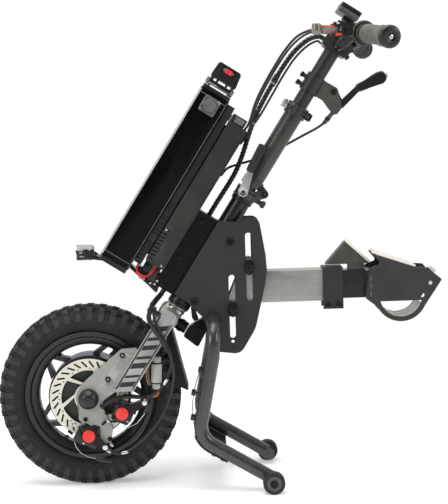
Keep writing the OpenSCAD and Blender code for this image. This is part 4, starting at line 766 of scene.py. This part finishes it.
# Grip rubber: warm grey and matte, with a coarse soft grain.
grip_rubber = surface("grip rubber, moulded", "#504f4c", "#706f69", 0.52, 1.4, 0.12, cloud=20)
grip_end = Vector(left[4]) - Vector(left[3])
length = grip_end.length
ribs = []
for i in range(13):
    z = 34 + 4.2 * i
    ribs += [(17.8, z), (18.6, z + 0.7), (18.6, z + 2.6), (17.8, z + 3.3)]
for name, body, flange, flip in (("throttle_grip", "throttle", 24.5, Matrix()),
                                 ("grip_right", "bar", 20, mirrored)):
    grip = bmesh.new()
    join(grip, turned([(11.4, 8.2), (flange - 1.4, 8.2), (flange, 9.6), (flange, 15.4), (flange - 1.4, 17),
                       (15, 17.6)], 40), tint=1)
    sleeve = [(11.4, 17), (18.8, 17.6), (18.2, 20), (18.4, 31)] + ribs
    sleeve += [(18, 89), (20.4, 91), (20.4, 94), (19.6, 95), (19.6, 97), (20.6, 98), (20.6, 101),
               (19.8, 102), (19.8, 104), (20.8, 105), (20.8, length - 8), (11.4, length - 8)]
    join(grip, turned(sleeve, 40))
    cap = ((16.6, -7.6), (19, -6), (21.4, -5.4), (22, -4), (22, 2), (21, 4.6), (18, 6.4), (9, 7), (8, 6.4),
           (7.6, 3.6), (0, 3.4))
    join(grip, turned([(r, length + z) for r, z in cap], 40), tint=1)
    for i in range(6):
        join(grip, brick((5, 3.4, 1.2), 0.5), swing(60 * i, "Z") @ move(14, 0, length + 6.5), 2)
    join(grip, screw(9.4, 2.6, 4.6), move(0, 0, length + 3.4), 3)
    join(grip, turned([(18, 21.6), (19.6, 22.2), (19.6, 28.4), (18, 29)], 40), tint=1)
    put(grip, flip @ move(*left[3]) @ aimed(grip_end))
    sheath = rubber_black if flip is mirrored else grip_rubber
    piece(name + "_ribbed", grip, body, [sheath, black_plastic, satin_black, polished], RAKED, [name])

# Display: a moulded housing in two halves, grey below and black above, with a
# dark window on top. It stands on a black post that is screwed to the bar clamp.

# Mid grey plastic: even, with a dull gloss.
display_grey = surface("moulded plastic, mid grey", "#484a4a", "#606262", 0.44, 1.4, 0.05, cloud=40)
# Dark glass: nearly black and glossy, with faint smears.
window, tree, shader, place = new_finish("dark display glass")
smear = add_node(tree, "TexNoise", {"Vector": place, "Scale": 1000 / 18, "Detail": 3})
gloss = add_node(tree, "MapRange", {"Value": smear.outputs["Fac"], "To Min": 0.04, "To Max": 0.16})
set_inputs(tree, shader, {"Base Color": linear("#0a0c0d"), "Roughness": gloss.outputs[0]})
show = bmesh.new()
for size, edge, steps, p, h, tint in (((45, 79, 13), 3.2, 3, -13, 65.2, 0),
                                      ((46, 80, 6.6), 2.4, 3, -13, 75.2, 1),
                                      ((38, 66, 1.2), 0.5, 1, -13, 78.9, 2),
                                      ((45.4, 79.4, 1), 0.3, 1, -13, 70.4, 1),
                                      ((45.4, 79.4, 0.8), 0.2, 1, -13, 62, 1),
                                      ((20, 22, 44), 2, 2, -6, 37, 1), ((24, 28, 9), 2.4, 2, -6, 54, 1)):
    join(show, brick(size, edge, steps), move(p, 0, bar_h + h), tint)
for y in (-27, 27):
    join(show, turned([(0, 0), (4, 0), (4, 2), (3.2, 2.6), (0, 2.6)], 20), move(6, y, bar_h + 77), 1)
for x in (-12, 0):
    join(show, screw(6, 2.2, 3), move(x, -11, bar_h + 30) @ ACROSS, 3)
piece("display_housing", show, "bar", [display_grey, black_plastic, window, polished], RAKED, ["display"])

# Brake perch and lever: a cast clamp on the bar, with a black reach adjuster and
# a red block under it, and a forged lever, tumbled, with a red strip on its root.
lever_at = HEAD @ move(330, -84, 548)
adjuster = turned([(0, 0), (4.8, 0), (5.6, 1), (5.6, 9), (4.6, 10.4), (2.6, 11), (2.6, 16), (0, 16)], 20)
stop = Vector((8.5, 16.5, -4.7))
perch = [(screws([(18, -12.4, 0), (33, -13.6, 0)], 7, 3, 3.6), Matrix(), 1),
         (adjuster, move(20, -8, 10) @ swing(-62, "Y"), 1),
         (brick((13, 5, 5), 1.4, 2), move(6, -12.6, -9), 2),
         (turned([(0, 0), (5.4, 0), (5.4, 2.4), (0, 2.6)], 6), move(0, 0, 13.8), 3),
         (turned([(0, 0), (3.2, 0), (3.6, 0.6), (3.6, 15), (0, 15)], 16), move(*stop) @ aimed(-stop), 1)]
cad_piece("brake_perch", "bar", [enamel, black_steel, knob_red, polished], 1.4, 3, perch,
          lever_at)
# Tumbled aluminium: warm grey and blotched, with a soft metallic shine.
lever_alloy = surface("forged aluminium, tumbled", "#6a655f", "#8f8a83", 0.36, 1.2, 0.02, cloud=12,
                      metal=0.7)
cad_piece("brake_lever", "lever", [lever_alloy, knob_red], 2.6, 3,
          [(brick((34, 12.6, 6), 1.4, 2), move(-18, -9.4, 6.4) @ Matrix.Rotation(atan2(12, 36), 4, "Z"), 1)],
          lever_at)

# Parking brake: a grey steel bracket strapped on the bar tube, a black lever on a pin
# between its cheeks with a moulded hand grip, and a release button in the grip's end.

# Powder coat, slate grey: mid dark, with a slight metallic look.
bracket_grey = surface("powder coat, slate grey", "#3f3e3c", "#53524e", 0.42, 1.5, 0.04, cloud=35, metal=0.2)
# Moulded hand grip: warm black with a soft gloss.
hand_rubber = surface("hand grip, moulded", "#2e2d2b", "#474643", 0.36, 1.4, 0.05, cloud=30)
park_h = 499.3
strap = [(screw(11, 6, 5.4), move(-25.5, 0, park_h + h) @ swing(-90, "Y"), 1) for h in (22, 40)]
cheek = (52, park_h + 36)
for flip in both_sides:
    pin = turned([(0, 0), (6.5, 0), (6.5, 2), (5, 3.2), (0, 3.4)], 24)
    rim = plate(arc(17, -150, -30, 10, cheek) + arc(13, -30, -150, 10, cheek), -10.4, -9.3)
    strap += [(pin, flip @ move(45, -9.3, park_h + 41) @ ACROSS, 1), (rim, flip, 0)]
barrel = turned([(0, 0), (4.4, 0), (4.4, 4), (5.6, 4.4), (5.6, 11), (4.4, 11.6), (3.6, 20), (0, 20)], 20)
strap.append((barrel, move(64.6, 0, park_h - 3) @ aimed((-4, 0, -26)), 2))
made = cad_piece("park_bracket", "bar", [bracket_grey, black_steel, black_plastic, bar_grey], 1.0,
                 2, strap, RAKED)
repaint(made, RAKED, lambda spot: spot.x < 17, 3)
hand = bmesh.new()
low, high = Vector((82, 0, park_h + 82)), Vector((103, 0, park_h + 121))
stations = [(-0.22, 9, 9.5), (0.1, 9.4, 10), (0.4, 9.8, 10.4), (0.75, 12.5, 11), (1.05, 13, 11),
            (1.24, 11, 10), (1.3, 7, 7)]
rings = []
for t, deep, wide in stations:
    ring = bmesh.ops.create_circle(hand, segments=16, radius=1)["verts"]
    bmesh.ops.scale(hand, vec=(deep, wide, 1), verts=ring)
    bmesh.ops.translate(hand, vec=(1.5 if t > 0.6 else 0, 0, t * (high - low).length), verts=ring)
    rings.append(sorted({e for v in ring for e in v.link_edges}, key=lambda e: e.index))
for a, b in zip(rings, rings[1:]):
    bmesh.ops.bridge_loops(hand, edges=a + b)
bmesh.ops.holes_fill(hand, edges=hand.edges[:])
bmesh.ops.recalc_face_normals(hand, faces=hand.faces)
pivot = move(45, 0, park_h + 41)
leaning = RAKED @ pivot @ swing(6, "Y") @ pivot.inverted()
hand_at = leaning @ move(*low) @ aimed(high - low) @ swing(90, "Z")
sleeve = piece("park_hand_grip", hand, "park", [hand_rubber], hand_at)
soften = sleeve.modifiers.new("moulded", "SUBSURF")
soften.levels = soften.render_levels = 2
cad_piece("park_lever", "park", [satin_black], 0.9)
cad_piece("park_button", "button", [pale_plastic], 1.2, 3)

# Docking arm: a brushed aluminium box tube between the side plates, held at its height by two
# bolts with long washers, and a black steel strap that squeezes its open end on the dock tube.

# Brushed aluminium: pale grey, streaked along the arm.
arm_metal = brushed("brushed aluminium", "#8e908a", "#b2b4ae", 0.4, (1, 0, 0))
cad_piece("arm_tube", "arm", [arm_metal], 1.8, 3)
height_bolts, strap_bolts = ((150, 81), (114, -4)), (310, 331)
nuts = bmesh.new()
for flip in both_sides:
    for x, z in height_bolts:
        at = flip @ move(x, -34.8, z) @ ACROSS
        join(nuts, plate(oblong(33, 20, (x, z), 90), -38.8, -34.8, [arc(6.2, 0, 345, 23, (x, z))]), flip)
        join(nuts, screw(18, 6, 9), at @ move(0, 0, 4))
        join(nuts, turned([(9.6, 4), (10, 4.2), (10, 5), (9.6, 5.2)], 32), at)
    for x in strap_bolts:
        join(nuts, screw(10, 5, 5), flip @ move(x, -27, -3) @ ACROSS)
for x, z in height_bolts:
    join(nuts, rod(6, -35, 35, 24), move(x, 0, z) @ ACROSS)
for x in strap_bolts:
    join(nuts, rod(4, -27, 27, 20), move(x, 0, -3) @ ACROSS)
piece("arm_bolts_socket", nuts, "arm", [black_steel], HEAD, ["arm_bolts"], edge=0.6)
cad_piece("arm_clamp", "arm", [powder], 1.2, 3)

# Dock: a steel box tube that slides in the arm and ends in a cross head
# between two hook plates, all welded and powder coated, with a pale liner
# where the wheelchair's bar slides, a wedge that guides it and a spring latch.

# Powder coat: charcoal on the plates, paler and warmer on the wedge, thin and shiny on the beads.
dock_coat = surface("powder coat, charcoal", "#222120", "#31302d", 0.45, 1.2, 0.06, cloud=55)
wedge_coat = surface("powder coat, warm charcoal", "#33322f", "#474541", 0.5, 1.2, 0.06, cloud=55)
bead_grey = surface("weld bead under powder coat", "#4a4846", "#656360", 0.4, 1.0, 0.05)
seams = [[(385.6, y, 14), (385.6, y, 62)] for y in (-33, 33)] + [[(386, -22, 67.5), (386, 22, 67.5)]]
cad_piece("dock_tube", "dock", [satin_black], 1.2, 2,
          [(weld(seam, 4), HEAD, 0) for seam in seams])
for side, name in ((-1, "hook_plate_left"), (1, "hook_plate_right")):
    beads = bmesh.new()
    for z in (20, 36, 52):
        join(beads, weld([(396, side * 43.2, z - 5), (396, side * 43.2, z + 5)], 4.4))
    cad_piece(name, "dock", [dock_coat, bead_grey], 0.9, 3, [(beads, HEAD, 1)])
# Cream nylon: pale and smooth, the lightest part of the dock.
liner_cream = surface("moulded nylon, cream", "#d6d1c4", "#ebe7dc", 0.42, 1.6, 0.04, cloud=40)
rivet = [(0, 0), (4, 0), (4, 0.8), (3, 1.4), (0, 1.4)]
liner = [(turned(rivet, 16), move(430, y, 85.4) @ swing(19, "Y"), 1) for y in (-22, 22)]
liner.append((brick((86, 88, 4), 0.8), move(446.6, 0, 87.6) @ swing(19, "Y"), 0))
cad_piece("hook_liner", "dock", [liner_cream, polished], 0.5, 2, liner, HEAD)
# Painted reflection: the cream strip along the wedge's slope stands for the overhead light on its black
# coat.
ramp = [(plate([(365.4, 79.4), (396.4, 79.4), (349.4, 124.4), (347.8, 123.6)], -16.8, -16), Matrix(), 0),
        (brick((64, 40, 5), 0.9), move(373.8, 0, 104.2) @ swing(43.2, "Y"), 1)]
cad_piece("dock_wedge", "dock", [wedge_coat, liner_cream], 0.9, 2, ramp, HEAD)
coil = [Vector((4.6 * cos(t), -12 + 24 * t / 44, 4.6 * sin(t))) for t in [0.4 * i for i in range(110)]]
spring = (hose(coil, 1.6, 1), move(517, 0, 38), 1)
cad_piece("dock_latch", "dock_catch", [polished, black_steel], 0.9, 2, [spring], HEAD)

# Stand: bent steel tubes, powder coated satin grey, that swing on a cross
# tube through the side plates. A bent sheet step joins the legs and each
# foot has a small castor. A claw on the cross tube drops on the fork's stub.

# Powder coat, satin grey: smooth, so that a bright line runs down each tube.
stand_grey = surface("powder coat, satin grey", "#2b2b2b", "#353535", 0.24, 1.2, 0.012, cloud=60, spec=0.7)
claw = []
for y in (-14, 14):
    bead = [(74 + 13.5 * cos(0.3 * i), y, -25 + 13.5 * sin(0.3 * i)) for i in range(22)]
    claw.append((weld(bead, 3.4), HEAD, 0))
claw += [(brick((3, 29.5, 4), 1), RAKED @ move(44 + 6 * i, 0, -20.6 + 1.2 * i), 1) for i in range(5)]
claw += [(screw(10, 4, 5), HEAD @ move(x, -14, z) @ ACROSS, 1) for x, z in ((52, -36), (58, -24))]
for x, z, wide, tilt in ((46, -46, 16, 30), (40, -34, 12, -20), (62, -40, 10, 60)):
    claw.append((brick((wide, 5, 7), 1.4, 2), HEAD @ move(x, -15, z) @ swing(tilt, "Y"), 1))
made = cad_piece("stand_tube", "stand", [stand_grey, black_and_painted_shade], 1.0, 2, claw)
repaint(made, HEAD, lambda spot: abs(spot.y) < 16, 1)
FLOOR = move(HEAD.translation.x, 0, 0)
for name, flip in zip(("stand_leg_left", "stand_leg_right"), both_sides):
    corners = [(74, -54.5, 337.1), (74, -110, 337.1), (70, -110, 272), (37, -110, 113), (181, -110, 26)]
    leg = hose(bent(corners, 44), 28, 8)
    axis = move(184, -110, 22) @ ACROSS
    join(leg, turned([(0, -14), (12, -14), (13.5, -12.4), (13.5, 12.8), (12.4, 14.6), (0, 14.6)], 32), axis)
    join(leg, rod(5, 10, 41.4, 20), axis)
    stub_nut = turned([(0, 39.4), (8, 39.4), (8, 42.4), (7, 43.9), (3.4, 43.9), (3, 42), (0, 42)], 24)
    join(leg, stub_nut, axis, 1)
    if name == "stand_leg_left":
        for x, z, stalk in ((45, 249, 12), (30, 204, 18), (27, 154, 12)):
            tilt = move(x, -110, z) @ Matrix.Rotation(atan2(33, 159), 4, "Y")
            join(leg, brick((9, 10, 12.5), 1.8, 2), tilt, 2)
            join(leg, brick((stalk, 5, 5), 1, 2), tilt @ move(stalk / 2, 0, 0), 2)
        wire = [(50, -110, 266), (45, -110, 249), (36, -110, 226), (30, -110, 204), (27, -110, 180),
                (27, -110, 154), (30, -110, 132)]
        join(leg, hose(bent(wire, 6, 3), 1.8, 3), tint=2)
    put(leg, flip)
    piece(name + "_bent", leg, "stand", [stand_grey, black_steel, black_plastic], FLOOR, [name])
slope = Matrix.Rotation(atan2(87, 144), 4, "Y")
fixings = []
for y in (-110, 110):
    for p in (44, 64):
        at = move(37, y, 113) @ slope @ move(p, 0, -17.6) @ swing(180, "X")
        fixings.append((screw(9, 2.4, 4.4), at, 1))
# Painted shade: the step takes the satin black coat, darker than the legs, for the shade it lies in between
# them.
cad_piece("stand_step", "stand", [satin_black, polished], 0.6, 2, fixings, FLOOR)

# Castors: hard rubber treads with four grooves, moulded on grey nylon
# hubs with five ribs. They turn on the stub axles of the stand's feet.

# Grey nylon: even, with a dull gloss.
castor_grey = surface("moulded nylon, grey", "#59595a", "#6d6d6e", 0.46, 1.4, 0.04)
for name, body, flip in (("castor_left", "wheel_left", Matrix()), ("castor_right", "wheel_right", mirrored)):
    tread = [(15, 0.8), (19, 0), (21.2, 1), (22, 3.2)]
    for i in range(4):
        z = 5.4 + 3.7 * i
        tread += [(22, z), (21.2, z + 0.5), (21.2, z + 1.2), (22, z + 1.7)]
    tread += [(22, 20.8), (21.2, 23), (19, 24), (15, 23.2), (15, 0.8)]
    wheel = turned(tread, 48)
    hub = [(5.06, 0), (7, 0), (7.4, 2.2), (13.4, 2.6), (15.4, 1), (15.4, 23), (13.4, 21.6), (7.4, 21.8),
           (7, 24), (5.06, 24), (5.06, 0)]
    join(wheel, turned(hub, 40), tint=1)
    for i in range(5):
        join(wheel, brick((6, 2.4, 1.6), 0.5), swing(360 * i / 5, "Z") @ move(10.6, 0, 21.8), 1)
    put(wheel, flip @ move(184, -125, 22) @ ACROSS)
    piece(name + "_treaded", wheel, body, [rubber_black, castor_grey], FLOOR, [name])

# Wiring loom: motor, throttle, display and brake switch leads in one spiral-wrapped bundle from the
# controller up to the bar clamp, in four lengths with two moulded couplings.


def smooth(points, per=6):
    """A route eased through its points."""
    path = [Vector(p) for p in points]
    ends = [2 * path[0] - path[1]] + path + [2 * path[-1] - path[-2]]
    out = []
    for a, b, c, d in zip(ends, ends[1:], ends[2:], ends[3:]):
        for i in range(per):
            t = i / per
            eased = 2 * b + (c - a) * t + (2 * a - 5 * b + 4 * c - d) * t ** 2
            out.append(0.5 * (eased + (3 * b - a - 3 * c + d) * t ** 3))
    return out + [path[-1]]


def between(path, low, high):
    """The part of a route whose height up the steering axis is from low to high, cut at both."""
    out = []
    for a, b in zip(path, path[1:]):
        for edge in (low, high):
            if min(a.z, b.z) < edge <= max(a.z, b.z):
                out.append(a.lerp(b, (edge - a.z) / (b.z - a.z)))
        if low < b.z < high:
            out.append(b)
    if low < path[0].z < high:
        out.insert(0, path[0])
    return out


def spiral(path, radius, pitch, per=10):
    """Points that wind round a route."""
    out, run = [], 0.0
    side = Vector((0, 1, 0))
    for a, b in zip(path, path[1:]):
        step = b - a
        count = max(1, round(step.length / pitch * per))
        u = (side - step.normalized() * side.dot(step.normalized())).normalized()
        v = step.normalized().cross(u)
        for i in range(count):
            turn = 2 * pi * (run + step.length * i / count) / pitch
            out.append(a + step * i / count + radius * (u * cos(turn) + v * sin(turn)))
        run += step.length
    return out


def cable(name, path, d, finishes, bodies, stands_for, extra=()):
    """A cord along a route in the raked frame on one body; across two bodies it rides on none, baked in
    place.
    """
    bm = hose(path, d, 4)
    for part, tint in extra:
        join(bm, part, tint=tint)
    made = piece(name, bm, bodies[0] if len(bodies) == 1 else None, finishes, RAKED, stands_for)
    if len(bodies) == 2:
        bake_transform(made)


# Spiral wrap: gloss black nylon ribbon, so each turn catches a short white glint.
wrap_black = surface("nylon spiral wrap, black", "#0b0b0c", "#161617", 0.22, 2, 0.02, cloud=40)
# Cable sheath: smooth black, half gloss.
cable_black = surface("cable sheath, black", "#0d0d0e", "#191919", 0.34, 1.6, 0.02, cloud=40)
loom = smooth([(-41, 4, 196.05), (-41, 4, 230), (-40, 4, 270), (-41, 4, 302), (-47, 4, 338), (-55.4, 4, 372),
               (-62.4, 4, 404), (-67, 4, 442), (-69, 4, 482), (-69, 4, 528), (-66, 4, 566), (-57, 4, 598),
               (-47, 4, 614), (-37, 4, 622), (-27.2, 4, 622)])
spans = (("loom_foot", 196, 330, ["frame"]), ("loom_lower", 330, 410, ["frame", "fork"]),
         ("loom_middle", 410, 500, ["fork", "column"]), ("loom_upper", 500, 640, ["column", "bar"]))
for name, low, high, bodies in spans:
    run = between(loom, low, high)
    wrap = hose(spiral(run, 4.9, 8), 2.2, 1)
    cable(name, run, 9.6, [cable_black, wrap_black], bodies, ["cable_loom"], extra=[(wrap, 1)])
for name, h in (("loom_coupling_low", 410), ("loom_coupling_high", 500)):
    spot = between(loom, h, h + 40)[0]
    coupling = turned([(4.4, -12), (5.8, -12), (6.4, -10), (6.4, -4), (7, -3), (7, 3), (6.4, 4), (6.4, 10),
                       (5.8, 12), (4.4, 12)], 24)
    join(coupling, turned([(6.2, -9), (6.7, -8.6), (6.7, -6.4), (6.2, -6)], 24), tint=1)
    piece(name, coupling, "fork" if h == 410 else "column", [black_plastic, pale_plastic],
          RAKED @ move(*spot) @ swing(-3, "Y"))

# Brake cables and leads on the column: steel wire in black sheaths, 5 mm, from the brake lever
# and the parking lever to the bracket, and the wrapped lead from the controller down to the fork.
brake_route = [(-70, -24, 380.7), (-70, -26, 400), (-80, -29, 440), (-84, -30, 480), (-85, -30, 520),
               (-84, -32, 560), (-76, -36, 598), (-52, -48, 626), (-12, -68, 640)]
throttle_route = [(-61.4, 20, 352), (-60, 20, 384), (-57, 17, 420), (-58, 14, 470), (-59, 12, 520),
                  (-57, 12, 560), (-49, 12, 592), (-37, 13, 612), (-27.2, 13, 612)]
display_route = [(-61.4, -12, 356), (-61.4, -12, 386), (-74, -12, 430), (-79, -12, 480), (-80, -12, 530),
                 (-77, -12, 572), (-66, -12, 606), (-46, -12, 631), (-37, -12, 634), (-27.2, -12, 634)]
for name, d, points in (("brake_cable", 5, brake_route), ("throttle_cable", 4.5, throttle_route),
                        ("display_cable", 4.5, display_route)):
    for part, low, high, bodies in (("_lower", 350, 430, ["frame", "fork"]),
                                    ("_middle", 430, 500, ["fork", "column"]),
                                    ("_upper", 500, 641, ["column", "bar"])):
        cable(name + part, between(smooth(points), low, high), d, [cable_black], bodies, ["cable_loom"])
park_run = smooth([(62, 0, 478.9), (55, 4, 462), (38, 16, 432), (20, 28, 400), (2, 33, 370), (-20, 33, 340),
                   (-44, 30, 314), (-58, 26, 296), (-61.4, 26, 276)])
for name, low, high, bodies in (("park_cable_upper", 425, 480, ["bar", "column"]),
                                ("park_cable_middle", 350, 425, ["column", "fork"]),
                                ("park_cable_lower", 275, 350, ["fork", "frame"])):
    cable(name, between(park_run, low, high), 5, [cable_black], bodies, ["cable_loom"])
lead_run = smooth([(-42, -20.5, 18.95), (-42, -20.5, 8), (-45, -36, -4), (-47, -54, -14), (-46, -68, -24)])
lead_wrap = hose(spiral(lead_run, 5, 8), 2.2, 1)
cable("controller_lead", lead_run, 9.6, [cable_black, wrap_black], ["frame", "fork"], ["cable_loom"],
      extra=[(lead_wrap, 1)])
reds = bmesh.new()
for y, deep in ((-27, 0), (-21, 3)):
    wire = smooth([(-113, y, 42), (-113, y - 2, 31), (-106, y - 4, 23.6 - deep), (-97, y - 7, 22 - deep),
                   (-88, y - 8, 25 - deep), (-82, y - 4, 34), (-80, y, 56)])
    join(reds, hose(wire, 4.6, 4))
piece("battery_leads_red", reds, "frame", [red_lead], RAKED)

# Fork cables: motor lead with its white plug, and the two caliper cables in black sheaths with
# steel ends, tied to the left leg.

# White plastic: slightly grey, so that the plug stands out from the black leads.
connector_white = surface("moulded plastic, white", "#b9bab6", "#d3d3ce", 0.42, 1.5, 0.03, cloud=30)
motor_run = smooth([(-46, -74, -27), (-40, -82, -40), (-22, -82, -52), (0, -80, -62), (16, -79, -71),
                    (23, -66, -82), (20, -53, -92), (12.5, -47, -101)])
cable("motor_lead", motor_run, 9, [cable_black], ["fork"], ["fork_cables"])
to_raked = RAKED.inverted() @ AXLE
hub_points = [(137, -46, 15), (128, -51, 2), (104, -61.2, 1), (74, -61.2, 3), (46, -62, -6), (24, -64, -17)]
hub_run = smooth([to_raked @ Vector(p) for p in hub_points])
cable("hub_lead", hub_run, 9, [cable_black], ["fork"], ["fork_cables"])
main_route = [(-40, -82, -12), (-34, -87, -30), (-14, -88, -46), (14, -87, -62), (38, -82, -84),
              (52, -77, -116), (54, -72, -152), (41.7, -68.35, -186.3)]
park_route = [(-46, -88, -14), (-40, -93, -34), (-20, -95, -50), (10, -94, -64), (40, -91, -86),
              (62, -87, -114), (77, -83, -152), (84, -79, -196), (81, -76, -240), (68, -73, -284),
              (48, -70, -312), (27.2, -68.4, -310)]
for name, points, arm in (("caliper_cable_main", main_route, "main_arm"),
                          ("caliper_cable_park", park_route, "park_arm")):
    run = smooth(points)
    ferrule = turned([(0, 0), (3.4, 0), (3.4, 12), (2.6, 14), (0, 14)], 16)
    put(ferrule, move(*run[-9]) @ aimed(run[-9] - run[-8]))
    cable(name, run, 5, [cable_black, polished], ["fork", arm], ["fork_cables"], [(ferrule, 1)])
body = [(0, 0), (7.4, 0), (8.2, 1), (8.4, 9), (9.2, 10), (9.2, 12.4), (10.6, 13.4), (11, 15), (11, 50),
        (10.2, 52), (9, 53), (9, 64), (8, 66), (5.4, 67), (5, 72), (0, 72)]
plug = turned(body, 32)
for z in (11, 51.6):
    join(plug, turned([(9.4, z), (11.2, z + 0.3), (11.4, z + 2.4), (9.4, z + 2.8)], 32), tint=1)
for z in (44, 47):
    join(plug, turned([(10.9, z), (11.25, z + 0.3), (11.25, z + 0.9), (10.9, z + 1.2)], 32))
piece("motor_plug", plug, "fork", [connector_white, rubber_black], AXLE @ move(137, -46, 14) @ swing(3, "Y"),
      ["fork_cables"])
# Silicone wires in four colours: plain bright tones with a waxy gloss.
wires = bmesh.new()
wire_colours = []
for i, code in enumerate(("#d8c22a", "#2346a8", "#2f8a3d", "#d9772b")):
    wire_colours.append(surface("silicone wire " + code[1:], code, code, 0.4, 1.5, 0.02))
    off = (i - 1.5) * 3.4
    run = smooth([(137 + off, -47, 18), (137 + off, -50, 6), (132 + off * 0.8, -55, -1),
                  (122 + off * 0.5, -59, 1.5)])
    join(wires, hose(run, 2.4, 2), tint=i)
    run = smooth([(122 + i * 1.4, -47, 66), (118 + i * 1.6, -46, 56), (118 + i * 1.6, -46, 36),
                  (122 + i * 1.4, -46, 22)])
    join(wires, hose(run, 1.8, 2), tint=i)
piece("motor_wires", wires, "fork", wire_colours, AXLE)
clip = bmesh.new()
join(clip, brick((26, 12, 9), 2, 2), move(-36, -72, -23))
join(clip, brick((17, 28, 11), 3, 3), move(-44, -80, -22))
join(clip, brick((5, 22, 5), 1.4, 2), move(2, -85, -59))
piece("cable_guide", clip, "fork", [black_plastic], RAKED)

# Motor stator: a stack of steel sheets wound with copper wire and fixed on the axle.
# It is hidden inside the drum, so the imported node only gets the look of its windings.

# Enamelled copper: red brown with a metallic shine.
copper = surface("enamelled copper wire", "#6d3418", "#a85a2c", 0.3, 1.0, 0.2, metal=0.8)
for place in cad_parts["motor_stator"].material_slots:
    place.material = copper

# Setting: a plain pale floor that runs into a white room, soft lamps above and to the sides,
# and the camera of the photograph, level with the handlebar and 2.75 m from the rider's left.
floor_mesh = bpy.data.meshes.new("floor")
bm = bmesh.new()
bmesh.ops.create_grid(bm, x_segments=1, y_segments=1, size=14)
bm.to_mesh(floor_mesh)
bm.free()
floor = bpy.data.objects.new("floor", floor_mesh)
bpy.context.scene.collection.objects.link(floor)
# Matte white floor: as bright as the room where it is lit, darker only
# in the object's shadow, and white like the wall from two metres away.
pale, tree, shader, place = new_finish("white studio floor")
seen = add_node(tree, "LightPath", {})
eyes = add_node(tree, "Math", {0: seen.outputs["Is Camera Ray"], 1: seen.outputs["Is Glossy Ray"]},
                operation="MAXIMUM")
eyes = add_node(tree, "Math", {0: eyes.outputs[0], 1: seen.outputs["Is Transmission Ray"]},
                operation="MAXIMUM")
lift = add_node(tree, "Math", {0: eyes.outputs[0], 1: 0.3}, operation="MULTIPLY")
set_inputs(tree, shader, {"Base Color": linear("#f4f4f4"), "Roughness": 0.9, "Specular IOR Level": 0.1,
                          "Emission Strength": lift.outputs[0], "Emission Color": (1, 1, 1, 1)})
away = add_node(tree, "VectorMath", {0: place}, operation="LENGTH")
far = add_node(tree, "MapRange", {"Value": away.outputs["Value"], "From Min": 0.75, "From Max": 1.9},
               interpolation_type="SMOOTHSTEP")
share = add_node(tree, "Math", {0: far.outputs[0], 1: eyes.outputs[0]}, operation="MULTIPLY")
white = add_node(tree, "Emission", {"Color": (1, 1, 1, 1), "Strength": 1.0})
both = add_node(tree, "MixShader", {0: share.outputs[0], 1: shader.outputs[0], 2: white.outputs[0]})
tree.links.new(both.outputs[0], tree.nodes["Material Output"].inputs["Surface"])
floor_mesh.materials.append(pale)

# White room: full white to the eye, a dim front wall in reflections and half light everywhere else.
room = bpy.data.worlds.new("white room")
bpy.context.scene.world = room
room.use_nodes = True
tree = room.node_tree
seen = add_node(tree, "LightPath", {})
eyes = add_node(tree, "Math", {0: seen.outputs["Is Camera Ray"], 1: seen.outputs["Is Transmission Ray"]},
                operation="MAXIMUM")
facing = add_node(tree, "SeparateXYZ", {0: add_node(tree, "TexCoord", {}).outputs["Generated"]})
wall = add_node(tree, "MapRange", {"Value": facing.outputs["Y"], "From Min": -0.7, "From Max": 0.5,
                                   "To Min": 0.14, "To Max": 1.0})
lit = add_node(tree, "Mix", {"Factor": seen.outputs["Is Glossy Ray"], "A": 0.5, "B": wall.outputs[0]})
glow = add_node(tree, "Mix", {"Factor": eyes.outputs[0], "A": lit.outputs[0], "B": 1.0})
set_inputs(tree, tree.nodes["Background"], {"Color": (1, 1, 1, 1), "Strength": glow.outputs[0]})

for name, watts, size, place in (("overhead softbox", 60, 2.4, (-0.2, -0.4, 3.0)),
                                 ("left softbox", 38, 1.6, (-2.6, -1.9, 1.7)),
                                 ("right softbox", 22, 1.4, (2.7, -1.2, 1.5))):
    lamp = bpy.data.lights.new(name, "AREA")
    lamp.energy = watts
    lamp.size = size
    holder = bpy.data.objects.new(name, lamp)
    holder.location = place
    holder.rotation_euler = (Vector((0, 0, 0.45)) - Vector(place)).to_track_quat("-Z", "Y").to_euler()
    bpy.context.scene.collection.objects.link(holder)

camera_data = bpy.data.cameras.new("camera")
camera_data.sensor_width = 36
camera_data.lens = 96.2067
camera = bpy.data.objects.new("camera", camera_data)
aim = swing(-0.8011, "Z") @ swing(84.4495, "X") @ swing(-1.7451, "Z")
camera.matrix_world = move(-0.0228, -2.7515, 0.7394) @ aim
bpy.context.scene.collection.objects.link(camera)
bpy.context.scene.camera = camera
bpy.context.scene.view_settings.view_transform = "Standard"
